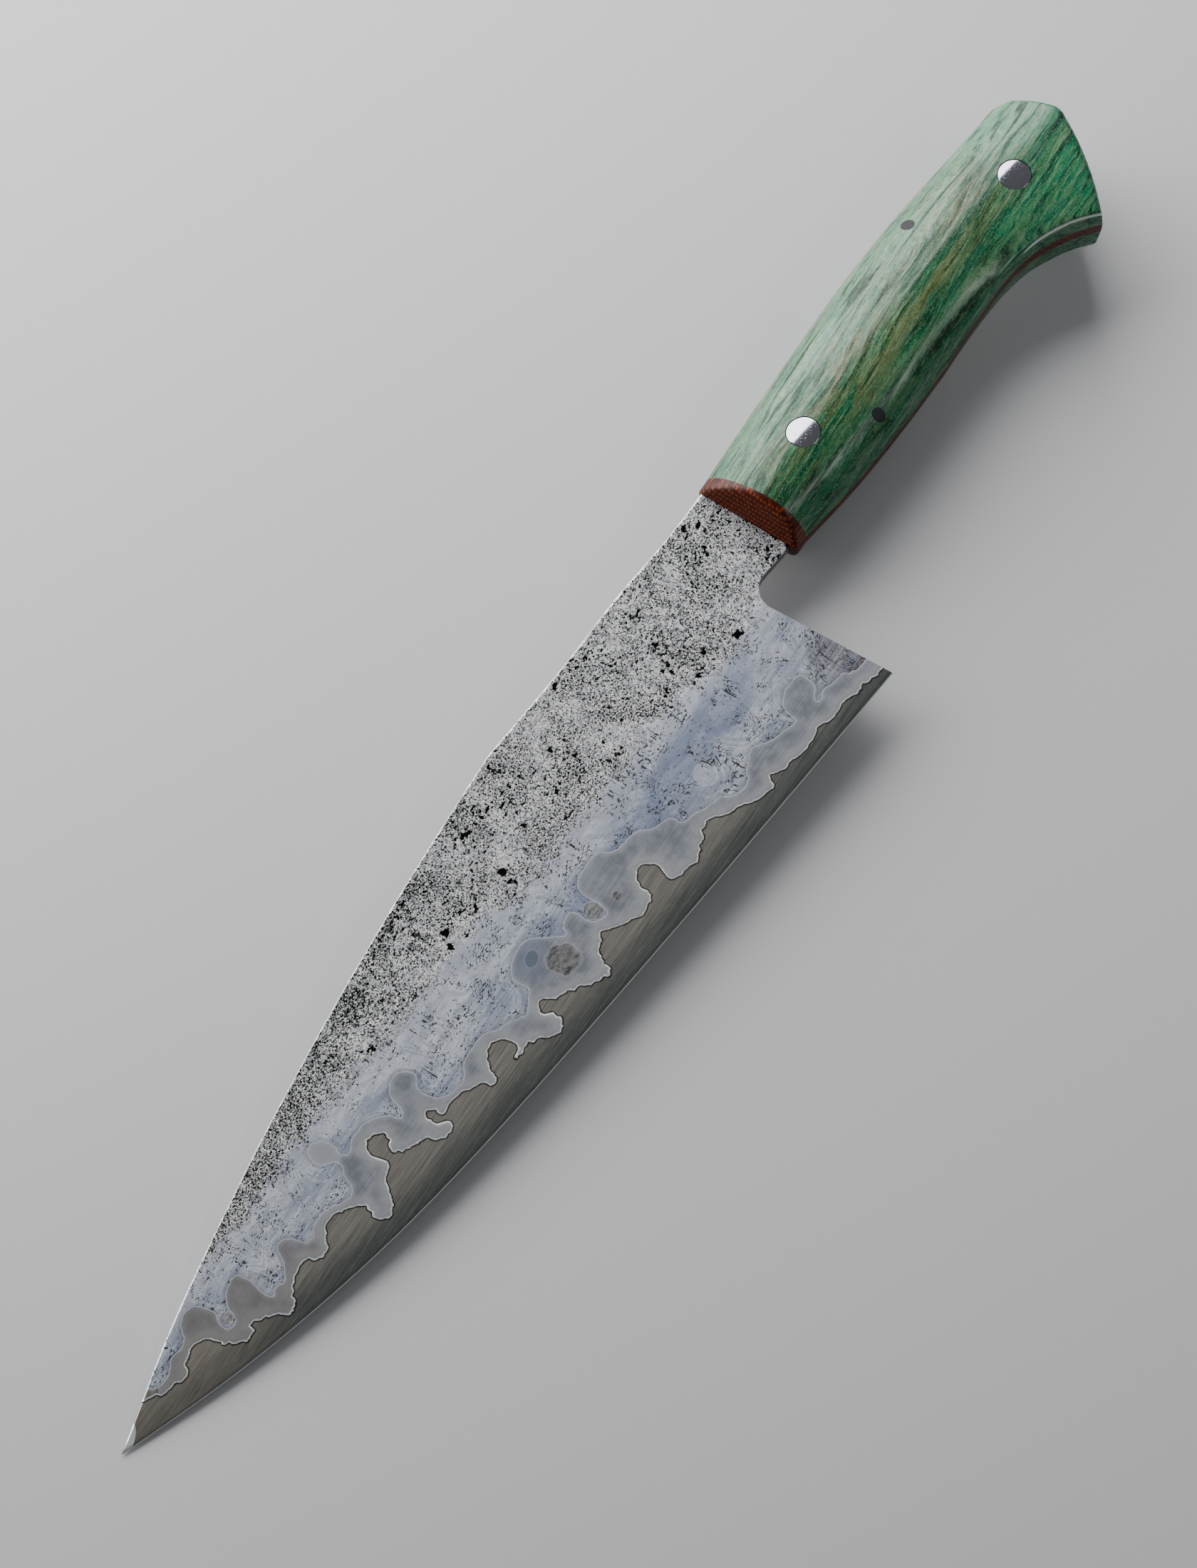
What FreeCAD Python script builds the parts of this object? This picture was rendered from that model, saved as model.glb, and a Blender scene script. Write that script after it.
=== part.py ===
import FreeCAD, Part
import math
import os

from FreeCAD import Vector

# A forged chef knife lying flat: +X runs from the tip to the butt, +Y from the edge to the spine,
# and +Z is the side that faces up (the left side). While it is built, x = 0 is 1 mm behind the front of
# the bolster, y = 0 is the middle of the blade's neck, and z = 0 is the middle plane of the blade. At the
# end everything moves so that the origin is under the middle of the knife, on the surface it lies on.
# All sizes are in millimetres.

# Blade: outline
HEEL_X = -13.9
HEEL_Y = -46.9
TANG_START_X = -1.0
NECK_SPINE_Y = 11.6
NECK_BELLY_Y = -11.8
CHOIL = [(-15.75, -17.5), (-14.6, -12.6), (-10.2, -10.75)]
SPINE_FRONT = [(-258, -7.2), (-250.3, -5.4), (-225, 0.9), (-205, 4.7), (-180, 8.6), (-150, 12.2),
               (-120, 14.8), (-100, 16.0), (-79.5, 16.85)]
SPINE_REAR = [(-79.5, 16.85), (-64, 15.5), (-48, 14.4), (-32, 13.75), (-16, 12.2),
              (TANG_START_X, NECK_SPINE_Y)]

# Blade: cross sections along its length, as (x, height of the edge, height where the bevel starts)
BEVEL_STATIONS = [(-262, -0.3, 15.0), (-250, -5.4, 11.0), (-240, -9.4, 8.5), (-225, -14.9, 6.0),
                  (-205, -21.0, 3.4), (-180, -27.0, 2.0), (-150, -32.0, 0.0), (-115, -36.5, -3.5),
                  (-75, -41.0, -8.3), (-35, -45.1, -12.5), (-10, -47.5, -15.5), (4, -48.9, -16.5)]
FLAT_HALF_AT_NECK = 1.6
FLAT_TAPER = 0.004
SHARPENED_HEIGHT = 0.6
SHARPENED_HALF = 0.15
EDGE_ZONE_HEIGHT = 6.5
EDGE_ZONE_HALF = 0.38
BEVEL_OVERRUN = 40.0

# Blade: the five forge-welded layers, as shares of the local thickness
CORE_SHARE = 0.36
INNER_SHARE = 0.62

# Line where the inner layer ends and the core steel shows, from the spine near the tip to the heel
CORE_LINE = [(-240.5, 1.5), (-238.3, -2.4), (-235.2, -5.4), (-232.2, -6.1), (-229.5, -7.1),
             (-225.5, -5.0), (-222, -5.1), (-219.8, -8.5), (-217.5, -12.2), (-214.6, -13.6),
             (-212, -12.5), (-208.5, -15), (-206, -18), (-203.5, -17), (-200.2, -14.6),
             (-196.5, -13.8), (-191.6, -16.5), (-186.5, -13.3), (-182, -14.3), (-178.9, -17.5),
             (-179.3, -21.8), (-176.9, -23.3), (-173, -20.2), (-168.6, -17), (-168.5, -12.2),
             (-166, -10.2), (-163.5, -12), (-165.1, -16.2), (-159.5, -20.1), (-158, -22.8),
             (-154, -23.4), (-155.4, -19), (-154.1, -17.1), (-152.6, -20.1), (-147, -20.9),
             (-142.3, -23.8), (-140.3, -25.6), (-136.6, -20.9), (-133.8, -20.4), (-131.3, -23.6),
             (-130, -26.8), (-126, -29.8), (-122.9, -31), (-121.2, -28.5), (-121.8, -24.9),
             (-119.6, -24.1), (-116.5, -27), (-111, -30.4), (-106.9, -32.8), (-104.6, -28.9),
             (-100.5, -26.4), (-95.5, -29.4), (-91, -31.5), (-87.2, -30.3), (-85.2, -25.6),
             (-82.2, -25.4), (-80.7, -28.8), (-81.1, -32.2), (-75.5, -34.6), (-70, -33),
             (-66.7, -31.5), (-62.5, -34.2), (-56.5, -37.6), (-51.4, -39.4), (-49.3, -37.6),
             (-45, -39.3), (-39, -40.7), (-33.5, -40.2), (-28, -41.8), (-22.5, -42.9),
             (-15, -44.6), (-10, -44.8)]

# Line where the wrought cladding ends and the inner layer shows, the same way
CLADDING_LINE = [(-238.5, 2.5), (-235.7, -1.9), (-233, -3.8), (-227.5, -2.4), (-223, -2.2),
                 (-220.4, 0.6), (-218.4, 1.2), (-215.6, -1), (-215.4, -5.2), (-215.6, -8.3),
                 (-213, -7.6), (-210.5, -4.1), (-206.6, -3.4), (-205.2, -6.5), (-205, -12),
                 (-200, -11.8), (-196.8, -7.6), (-194.2, -7.2), (-191.6, -12), (-186.5, -11),
                 (-178.5, -13.8), (-176.2, -11.4), (-174.3, -8), (-176.7, -4.2), (-174.3, -0.5),
                 (-171.5, -4), (-171.5, -8), (-166.5, -7.1), (-161.5, -8.6), (-158.4, -13.1),
                 (-156.2, -9.6), (-152.5, -6.9), (-148.8, -9.8), (-151.2, -14), (-148.5, -18.8),
                 (-144, -19.3), (-139.5, -17.4), (-134.5, -17.4), (-129.5, -20), (-124.6, -22.6),
                 (-119.9, -19.3), (-115.7, -13.7), (-110, -14), (-105.2, -19.8), (-101.3, -17.9),
                 (-98.8, -22.2), (-95.6, -22), (-93.8, -15.9), (-87, -15.1), (-82.5, -18.9),
                 (-76, -20.5), (-70, -24.3), (-68.5, -27.6), (-60.5, -30.6), (-56.8, -33.8),
                 (-52.3, -33.2), (-46.2, -30.5), (-41.5, -33.5), (-35.6, -34.9), (-33.2, -30.4),
                 (-28, -29.2), (-25.7, -32.5), (-28, -36.4), (-21, -37.7), (-15, -40.5),
                 (-9, -41.5)]

# Tang
TANG_HALF_FRONT = 1.5
TANG_HALF_REAR = 1.0
TANG_WIDTH_FRONT = 15.0
TANG_WIDTH_REAR = 11.0
TANG_END_X = 110.0
TANG_END_ROUNDING = 3.0

# Handle fasteners: places in the handle, and diameters
FRONT_BOLT = (20.9, -1.3)
REAR_BOLT = (102.7, -7.1)
SPINE_PIN = (79.8, 7.3)
BELLY_PIN = (34.6, -12.8)
BOLT_HEAD_D = 8.0
BOLT_SHANK_D = 6.35
BOLT_STUD_D = 4.0
BOLT_HEAD_DEPTH_Z = 4.0
STUD_LENGTH = 3.5
NUT_BORE_DEPTH = 4.0
SMALL_PIN_D = 3.2

# Bolster
BOLSTER_FRONT_X = TANG_START_X
BOLSTER_BACK_X = 3.0
BOLSTER_NOSE_HALF = 1.9
BOLSTER_MID = (0.25, 6.0)
BOLSTER_RIM = (2.2, 11.0)

# Frame between the scales, and the glue round the tang
FRAME_HALF = 1.6
GLUE_GAP = 0.4

# Handle sections along its length: (x, spine y, belly y, crest y, half thickness at the crest,
# roundness towards the spine, roundness towards the belly). A roundness of 2 is an ellipse.
HANDLE_STATIONS = [(-4, 12.5, -13.2, -3.2, 10.6, 1.7, 2.0), (3, 12.6, -13.9, -3.2, 10.6, 1.7, 2.0),
                   (14, 12.9, -15.5, -3.4, 10.6, 1.75, 2.1), (30, 13.2, -17.1, -3.6, 10.5, 1.8, 2.2),
                   (50, 13.4, -18.0, -3.8, 10.4, 1.8, 2.2), (66, 13.1, -18.6, -4.0, 10.3, 1.8, 2.1),
                   (76, 12.6, -20.0, -4.3, 10.3, 1.8, 2.0), (84, 12.0, -22.8, -4.8, 10.2, 1.8, 2.0),
                   (92, 11.1, -28.0, -5.3, 10.2, 1.8, 2.0), (100, 10.1, -35.5, -5.8, 10.1, 1.8, 2.0),
                   (112, 8.8, -47.0, -6.2, 10.0, 1.8, 2.0), (130, 6.3, -62.0, -6.5, 9.9, 1.8, 2.0)]
SECTION_POINTS = 13

# The flare under the little finger is cut square into the rounded form along this line
BELLY_CUT = [(44, -19.4), (54, -18.2), (66, -17.7), (78, -17.75), (86, -18.4), (92, -19.9),
             (98, -22.6), (103, -25.7), (107, -29.0), (114, -35.2)]

# Butt, in the middle plane: rounded spine corner, end face, rounded rear corner, facet and beak
BUTT_START = (116.8, 8.6)
BUTT_SPINE_ARC = (120.7, 6.2)
BUTT_END_TOP = (122.7, 2.2)
BUTT_END_MID = (123.9, -1.4)
BUTT_END_LOW = (124.8, -5.0)
BUTT_REAR_ARC = (124.9, -7.4)
BUTT_FACET_TOP = (123.9, -9.5)
BUTT_FACET_MID = (116.5, -19.8)
BUTT_BEAK = (107.0, -29.1)
BUTT_LEAN = (-1.9, 0.9)
BUTT_LEAN_Z = 10.6

# How far construction solids reach past the knife, and past single features of it
REACH = 70.0
HEEL_WALL_LEAN = 0.6
BELOW_EDGE = 12.0
PAST_TANG = 10.0
ABOVE_SPINE_Y = 40.0
PAST_BUTT = 10.0
PAST_CUT = 30.0
PAST_BEAK = (-8.0, -9.5)
BUTT_TOP_LEAN = 4.0
BEFORE_HANDLE_X = -20.0


def spline(points):
    """An edge through the points, smooth all the way."""
    curve = Part.BSplineCurve()
    curve.interpolate([Vector(x, y, 0) for x, y in points])
    return curve.toShape()


def polyline(points):
    """Straight edges through the points."""
    return [Part.LineSegment(Vector(*a, 0), Vector(*b, 0)).toShape() for a, b in zip(points, points[1:])]


def prism(edges, low=-REACH, high=REACH):
    """The solid over a closed outline in the knife's plane, from low to high."""
    wire = Part.Wire(Part.__sortEdges__(edges))
    face = Part.Face(wire)
    face.translate(Vector(0, 0, low))
    return face.extrude(Vector(0, 0, high - low))


def side_prism(points):
    """The solid along Y over a closed outline of (x, z) points."""
    corners = [Vector(x, -REACH, z) for x, z in points]
    face = Part.Face(Part.makePolygon(corners + corners[:1]))
    return face.extrude(Vector(0, 2 * REACH, 0))


def cylinder(place, diameter, low, high):
    """An upright round bar at a place in the handle, from low to high."""
    return Part.makeCylinder(diameter / 2, high - low, Vector(*place, low))


def one_solid(shape):
    """The only solid of a boolean result, with its seams joined."""
    solids = shape.removeSplitter().Solids
    if len(solids) != 1:
        raise ValueError("expected one solid, got %d" % len(solids))
    return solids[0]


def tang_middle(x):
    """Height of the tang's middle line, which runs through both handle bolts."""
    slope = (REAR_BOLT[1] - FRONT_BOLT[1]) / (REAR_BOLT[0] - FRONT_BOLT[0])
    return FRONT_BOLT[1] + slope * (x - FRONT_BOLT[0])


def blade_outline():
    """Outline of blade and tang. Past the edge it runs wide: the bevels end the blade there."""
    rear_x = TANG_END_X - TANG_END_ROUNDING
    top_front = (TANG_START_X, tang_middle(TANG_START_X) + TANG_WIDTH_FRONT / 2)
    top_rear = (rear_x, tang_middle(rear_x) + TANG_WIDTH_REAR / 2)
    low_front = (TANG_START_X, tang_middle(TANG_START_X) - TANG_WIDTH_FRONT / 2)
    low_rear = (rear_x, tang_middle(rear_x) - TANG_WIDTH_REAR / 2)
    tang_end = Part.Arc(Vector(*top_rear, 0), Vector(TANG_END_X, tang_middle(TANG_END_X), 0),
                        Vector(*low_rear, 0)).toShape()

    heel_wall_top = CHOIL[0]
    choil_top = CHOIL[-1]
    choil = Part.Arc(*[Vector(*place, 0) for place in CHOIL]).toShape()
    neck_low = (TANG_START_X, NECK_BELLY_Y)
    below_heel = (HEEL_X + HEEL_WALL_LEAN, HEEL_Y - BELOW_EDGE)
    below_tip = (SPINE_FRONT[0][0], HEEL_Y - BELOW_EDGE)

    edges = [spline(SPINE_FRONT), spline(SPINE_REAR), tang_end, choil]
    edges += polyline([SPINE_REAR[-1], top_front, top_rear])
    edges += polyline([low_rear, low_front, neck_low, choil_top])
    edges += polyline([heel_wall_top, (HEEL_X, HEEL_Y), below_heel, below_tip, SPINE_FRONT[0]])
    return edges


def flat_half(x):
    """Half the thickness of the forged flat, which thins towards the tip."""
    return FLAT_HALF_AT_NECK + FLAT_TAPER * x


def bevel_section(station, share):
    """Closed section of the bevelled wedge, carried on past the line where the flat starts."""
    x, edge_y, bevel_y = station
    zone_y = edge_y + EDGE_ZONE_HEIGHT
    slope = (flat_half(x) - EDGE_ZONE_HALF) / (bevel_y - zone_y)
    top_y = bevel_y + BEVEL_OVERRUN
    half = [(edge_y + SHARPENED_HEIGHT, SHARPENED_HALF), (zone_y, EDGE_ZONE_HALF),
            (top_y, EDGE_ZONE_HALF + slope * (top_y - zone_y))]
    upper = [Vector(x, y, share * z) for y, z in half]
    lower = [Vector(x, y, -share * z) for y, z in reversed(half)]
    edge = Vector(x, edge_y, 0)
    return Part.makePolygon([edge] + upper + lower + [edge])


def layer_envelope(share):
    """The blade's thickness everywhere, scaled towards the middle plane by a layer's share."""
    wedge = Part.makeLoft([bevel_section(station, share) for station in BEVEL_STATIONS], True, False)
    tip_x = BEVEL_STATIONS[0][0]
    flat = side_prism([(tip_x, -share * flat_half(tip_x)), (TANG_START_X, -share * FLAT_HALF_AT_NECK),
                       (TANG_START_X, share * FLAT_HALF_AT_NECK), (tip_x, share * flat_half(tip_x))])
    tang = side_prism([(TANG_START_X, -share * TANG_HALF_FRONT), (TANG_END_X, -share * TANG_HALF_REAR),
                       (TANG_END_X, share * TANG_HALF_REAR), (TANG_START_X, share * TANG_HALF_FRONT)])
    return wedge.common(flat).fuse(tang)


def above_line(line):
    """The space on the spine side of a weld line, tang included."""
    end_x = TANG_END_X + PAST_TANG
    corners = [line[-1], (end_x, line[-1][1]), (end_x, ABOVE_SPINE_Y), (line[0][0], ABOVE_SPINE_Y), line[0]]
    return prism([spline(line)] + polyline(corners))


def split_sides(shape):
    """The left (+Z) and right (-Z) solids of a pair of outer layers."""
    solids = sorted(shape.removeSplitter().Solids, key=lambda solid: solid.CenterOfMass.z)
    if len(solids) != 2:
        raise ValueError("expected two layers, got %d" % len(solids))
    return solids[1], solids[0]


def make_blade():
    """The core and its two pairs of outer layers, drilled for the handle bolts."""
    blade = prism(blade_outline()).common(layer_envelope(1.0))
    for place in (FRONT_BOLT, REAR_BOLT):
        blade = blade.cut(cylinder(place, BOLT_SHANK_D, -REACH, REACH))
    cladding = blade.common(above_line(CLADDING_LINE)).cut(layer_envelope(INNER_SHARE))
    inner = blade.common(above_line(CORE_LINE)).cut(layer_envelope(CORE_SHARE)).cut(cladding)
    core = blade.cut(inner).cut(cladding)
    cladding_left, cladding_right = split_sides(cladding)
    inner_left, inner_right = split_sides(inner)
    layers = {
        "blade_core": one_solid(core),
        "inner_layer_left": inner_left,
        "inner_layer_right": inner_right,
        "cladding_left": cladding_left,
        "cladding_right": cladding_right,
    }
    return blade, layers


def section_half(station, side):
    """Half of a handle section, from spine to belly, on the upper (1) or lower (-1) side."""
    x, spine_y, belly_y, crest_y, crest, spine_round, belly_round = station
    points = []
    for step in range(SECTION_POINTS):
        angle = math.pi * step / (SECTION_POINTS - 1)
        roundness = spine_round if angle <= math.pi / 2 else belly_round
        reach = spine_y - crest_y if angle <= math.pi / 2 else crest_y - belly_y
        across = math.copysign(abs(math.cos(angle)) ** (2 / roundness), math.cos(angle))
        height = abs(math.sin(angle)) ** (2 / roundness)
        points.append(Vector(x, crest_y + reach * across, side * crest * height))
    points[0].z = 0
    points[-1].z = 0
    curve = Part.BSplineCurve()
    curve.interpolate(Points=points, Parameters=list(range(SECTION_POINTS)))
    return curve.toShape()


def handle_section(station):
    """Closed handle section: an oval with its crest above or below the middle."""
    return Part.Wire([section_half(station, 1), section_half(station, -1)])


def butt_outline(lean, z):
    """Outline of everything in front of the butt, moved by the lean at a height."""
    def point(place):
        return Vector(place[0] + lean[0], place[1] + lean[1], z)

    def arc(a, b, c):
        return Part.Arc(point(a), point(b), point(c)).toShape()

    def line(a, b):
        return Part.LineSegment(point(a), point(b)).toShape()

    beyond = (BUTT_BEAK[0] + PAST_BEAK[0], BUTT_BEAK[1] + PAST_BEAK[1])
    corners = [beyond, (BEFORE_HANDLE_X, -REACH), (BEFORE_HANDLE_X, REACH),
               (BUTT_START[0] - BUTT_TOP_LEAN, REACH), BUTT_START]
    edges = [arc(BUTT_START, BUTT_SPINE_ARC, BUTT_END_TOP), arc(BUTT_END_TOP, BUTT_END_MID, BUTT_END_LOW),
             arc(BUTT_END_LOW, BUTT_REAR_ARC, BUTT_FACET_TOP), arc(BUTT_FACET_TOP, BUTT_FACET_MID, BUTT_BEAK),
             line(BUTT_BEAK, beyond)]
    edges += [line(a, b) for a, b in zip(corners, corners[1:])]
    return Part.Wire(edges)


def make_handle_form():
    """The outer shape of bolster and handle together, before it is divided."""
    body = Part.makeLoft([handle_section(station) for station in HANDLE_STATIONS], True, False)
    low = butt_outline(BUTT_LEAN, -BUTT_LEAN_Z)
    middle = butt_outline((0, 0), 0)
    high = butt_outline(BUTT_LEAN, BUTT_LEAN_Z)
    butt = Part.makeLoft([low, middle, high], True, False)
    end = BELLY_CUT[-1]
    past_x = end[0] + PAST_CUT
    corners = [end, (past_x, end[1]), (past_x, REACH), (BEFORE_HANDLE_X, REACH),
               (BEFORE_HANDLE_X, -REACH / 2), (BELLY_CUT[0][0], -REACH / 2), BELLY_CUT[0]]
    above_belly = prism([spline(BELLY_CUT)] + polyline(corners))
    return one_solid(body.common(butt).common(above_belly))


def slab(x_low, x_high, z_low, z_high):
    """A box as wide as the construction space."""
    return Part.makeBox(x_high - x_low, 2 * REACH, z_high - z_low, Vector(x_low, -REACH, z_low))


def make_bolster(form, blade):
    """The spacer: a slice of the handle form whose front face curves back from the blade."""
    def point(x, z):
        return Vector(x, -REACH, z)

    edges = []
    for side in (1, -1):
        nose = point(BOLSTER_FRONT_X, side * BOLSTER_NOSE_HALF)
        mid = point(BOLSTER_MID[0], side * BOLSTER_MID[1])
        rim = point(BOLSTER_RIM[0], side * BOLSTER_RIM[1])
        edges.append(Part.Arc(nose, mid, rim).toShape())
        edges.append(Part.LineSegment(rim, point(BOLSTER_BACK_X, side * BOLSTER_RIM[1])).toShape())
    edges.append(Part.LineSegment(point(BOLSTER_FRONT_X, BOLSTER_NOSE_HALF),
                                  point(BOLSTER_FRONT_X, -BOLSTER_NOSE_HALF)).toShape())
    edges.append(Part.LineSegment(point(BOLSTER_BACK_X, BOLSTER_RIM[1]),
                                  point(BOLSTER_BACK_X, -BOLSTER_RIM[1])).toShape())
    profile = Part.Face(Part.Wire(Part.__sortEdges__(edges)))
    block = form.common(profile.extrude(Vector(0, 2 * REACH, 0)))
    return one_solid(block.cut(blade))


def make_slot():
    """The slot in the frame: the tang's outline, wider all round by the glue gap."""
    end_x = TANG_END_X + GLUE_GAP
    reach_front = TANG_WIDTH_FRONT / 2 + GLUE_GAP
    reach_rear = TANG_WIDTH_REAR / 2 + GLUE_GAP
    corners = [(BOLSTER_BACK_X, tang_middle(BOLSTER_BACK_X) + reach_front),
               (end_x, tang_middle(end_x) + reach_rear),
               (end_x, tang_middle(end_x) - reach_rear),
               (BOLSTER_BACK_X, tang_middle(BOLSTER_BACK_X) - reach_front)]
    return prism(polyline(corners + corners[:1]), -FRAME_HALF, FRAME_HALF)


def make_bolt(place, form):
    """The two halves of a threaded handle bolt, their heads worn flush with the scales."""
    head = cylinder(place, BOLT_HEAD_D, BOLT_HEAD_DEPTH_Z, REACH).common(form)
    shank = cylinder(place, BOLT_SHANK_D, 0, BOLT_HEAD_DEPTH_Z)
    stud = cylinder(place, BOLT_STUD_D, -STUD_LENGTH, 0)
    bolt = one_solid(head.fuse(shank).fuse(stud))
    nut_head = cylinder(place, BOLT_HEAD_D, -REACH, -BOLT_HEAD_DEPTH_Z).common(form)
    sleeve = cylinder(place, BOLT_SHANK_D, -BOLT_HEAD_DEPTH_Z, 0)
    bore = cylinder(place, BOLT_STUD_D, -NUT_BORE_DEPTH, 0)
    nut = one_solid(nut_head.fuse(sleeve).cut(bore))
    return bolt, nut


def make_handle(blade):
    """Bolster, frame, scales, glue, bolts and pins."""
    form = make_handle_form()
    slot = make_slot()
    bolts = [cylinder(place, BOLT_SHANK_D, -REACH, REACH) for place in (FRONT_BOLT, REAR_BOLT)]
    heads = []
    for place in (FRONT_BOLT, REAR_BOLT):
        heads.append(cylinder(place, BOLT_HEAD_D, BOLT_HEAD_DEPTH_Z, REACH))
        heads.append(cylinder(place, BOLT_HEAD_D, -REACH, -BOLT_HEAD_DEPTH_Z))
    pins = [cylinder(place, SMALL_PIN_D, -REACH, REACH) for place in (SPINE_PIN, BELLY_PIN)]

    end_x = BUTT_END_LOW[0] + PAST_BUTT
    frame = form.common(slab(BOLSTER_BACK_X, end_x, -FRAME_HALF, FRAME_HALF))
    left = form.common(slab(BOLSTER_BACK_X, end_x, FRAME_HALF, REACH))
    right = form.common(slab(BOLSTER_BACK_X, end_x, -REACH, -FRAME_HALF))
    for hole in bolts + heads + pins:
        left = left.cut(hole)
        right = right.cut(hole)
    for hole in [slot] + pins:
        frame = frame.cut(hole)
    glue = slot.cut(blade)
    for hole in bolts:
        glue = glue.cut(hole)

    front_bolt, front_nut = make_bolt(FRONT_BOLT, form)
    rear_bolt, rear_nut = make_bolt(REAR_BOLT, form)
    return {
        "bolster": make_bolster(form, blade),
        "handle_frame": one_solid(frame),
        "tang_epoxy": one_solid(glue),
        "scale_left": one_solid(left),
        "scale_right": one_solid(right),
        "handle_bolt_front": front_bolt,
        "handle_nut_front": front_nut,
        "handle_bolt_rear": rear_bolt,
        "handle_nut_rear": rear_nut,
        "small_pin_spine": one_solid(pins[0].common(form)),
        "small_pin_belly": one_solid(pins[1].common(form)),
    }


def main():
    os.makedirs("parts", exist_ok=True)
    blade, pieces = make_blade()
    pieces.update(make_handle(blade))
    box = Part.makeCompound(list(pieces.values())).optimalBoundingBox(False, False)
    shift = Vector(-box.Center.x, -box.Center.y, -box.ZMin)
    print("shift %.3f %.3f %.3f" % tuple(shift))
    print("size %.2f %.2f %.2f" % (box.XLength, box.YLength, box.ZLength))
    for name, shape in pieces.items():
        shape.translate(shift)
        print("%-20s valid %s volume %9.1f" % (name, shape.isValid(), shape.Volume))
        shape.exportStep("parts/%s.step" % name)


main()
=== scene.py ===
import math

import bpy
import numpy as np
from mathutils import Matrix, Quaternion, Vector
from mathutils.geometry import delaunay_2d_cdt


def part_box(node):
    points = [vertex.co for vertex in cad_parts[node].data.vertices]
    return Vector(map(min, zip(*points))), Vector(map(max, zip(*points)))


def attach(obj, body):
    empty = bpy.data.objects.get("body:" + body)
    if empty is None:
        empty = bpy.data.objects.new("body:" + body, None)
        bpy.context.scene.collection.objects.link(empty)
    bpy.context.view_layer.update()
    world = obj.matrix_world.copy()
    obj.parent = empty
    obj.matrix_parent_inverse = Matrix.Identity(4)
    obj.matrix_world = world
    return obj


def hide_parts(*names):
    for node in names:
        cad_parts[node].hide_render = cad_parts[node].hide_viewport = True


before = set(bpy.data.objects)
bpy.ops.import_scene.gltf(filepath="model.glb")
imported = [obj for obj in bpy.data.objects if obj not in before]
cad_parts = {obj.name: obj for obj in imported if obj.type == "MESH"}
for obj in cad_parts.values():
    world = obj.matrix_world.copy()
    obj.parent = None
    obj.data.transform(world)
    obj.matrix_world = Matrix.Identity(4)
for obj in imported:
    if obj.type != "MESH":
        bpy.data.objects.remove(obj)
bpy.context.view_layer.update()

# The knife is laid out in millimetres in its own frame: +X runs from the tip to the butt, +Y from the
# edge to the spine, z = 0 is the blade's middle plane, x = 0 is just behind the bolster's front and
# y = 0 is the middle of the blade's neck. place() moves it to the row's frame, in metres.
MM = 0.001
BOLSTER_BACK_X = 3.0
HEEL_LOW_Y = -47.13
bolster_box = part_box("bolster")
core_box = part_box("blade_core")
handle_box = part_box("handle_frame")
ORIGIN = np.array([bolster_box[1].x / MM - BOLSTER_BACK_X, core_box[0].y / MM - HEEL_LOW_Y,
                   (handle_box[0].z + handle_box[1].z) / 2 / MM])


def place(points):
    """Knife-frame millimetres to row-frame metres."""
    return (np.asarray(points, float) + ORIGIN) * MM


# ------------------------------------------------------------------ curves, noise and distances


def natural_spline(knots, values):
    """A smooth function through values at growing knots, straight at both ends."""
    knots = np.asarray(knots, float)
    values = np.asarray(values, float)
    steps = np.diff(knots)
    slopes = np.diff(values) / steps
    count = len(knots)
    matrix = np.eye(count)
    right = np.zeros(count)
    for i in range(1, count - 1):
        matrix[i, i - 1:i + 2] = steps[i - 1], 2 * (steps[i - 1] + steps[i]), steps[i]
        right[i] = 6 * (slopes[i] - slopes[i - 1])
    bend = np.linalg.solve(matrix, right)

    def curve(x):
        x = np.asarray(x, float)
        i = np.clip(np.searchsorted(knots, x) - 1, 0, count - 2)
        h = steps[i]
        a = (knots[i + 1] - x) / h
        b = 1 - a
        return (a * values[i] + b * values[i + 1]
                + ((a ** 3 - a) * bend[i] + (b ** 3 - b) * bend[i + 1]) * h ** 2 / 6)

    return curve


def path_lengths(path):
    """Distance along a path at each of its points."""
    return np.concatenate([[0], np.cumsum(np.hypot(*np.diff(path, axis=0).T))])


def smooth_path(points, spacing):
    """Points along a smooth curve through the given ones."""
    points = np.array(points, float)
    along = path_lengths(points)
    samples = np.linspace(0, along[-1], int(along[-1] / spacing) + 2)
    return np.column_stack([natural_spline(along, column)(samples) for column in points.T])


NOTCH_WIDTH = 0.9
CALM_WIDTH = 6
LEAST_NOTCH = 0.3


def jagged(path, amount, seed):
    """A path with small notches across it, deeper in some places than in others."""
    along = path_lengths(path)
    heading = np.gradient(path, axis=0)
    heading /= np.hypot(*heading.T)[:, None]
    across = np.column_stack([-heading[:, 1], heading[:, 0]])
    notch = layered_noise(along / NOTCH_WIDTH, along * 0, seed, 3, 0.6) - 0.5
    calm = value_noise(along / CALM_WIDTH, along * 0, seed + 9)
    return path + across * (amount * notch * (LEAST_NOTCH + calm))[:, None]


def arc(a, b, c, count=24):
    """Points along the circle through three points, from the first to the last."""
    (ax, ay), (bx, by), (cx, cy) = a, b, c
    d = 2 * (ax * (by - cy) + bx * (cy - ay) + cx * (ay - by))
    aa, bb, cc = ax * ax + ay * ay, bx * bx + by * by, cx * cx + cy * cy
    middle = complex((aa * (by - cy) + bb * (cy - ay) + cc * (ay - by)) / d,
                     (aa * (cx - bx) + bb * (ax - cx) + cc * (bx - ax)) / d)
    start, half, end = complex(*a) - middle, complex(*b) - middle, complex(*c) - middle
    turn = np.angle(half / start) + np.angle(end / half)
    spots = middle + start * np.exp(1j * turn * np.linspace(0, 1, count))
    return np.column_stack([spots.real, spots.imag])


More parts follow.
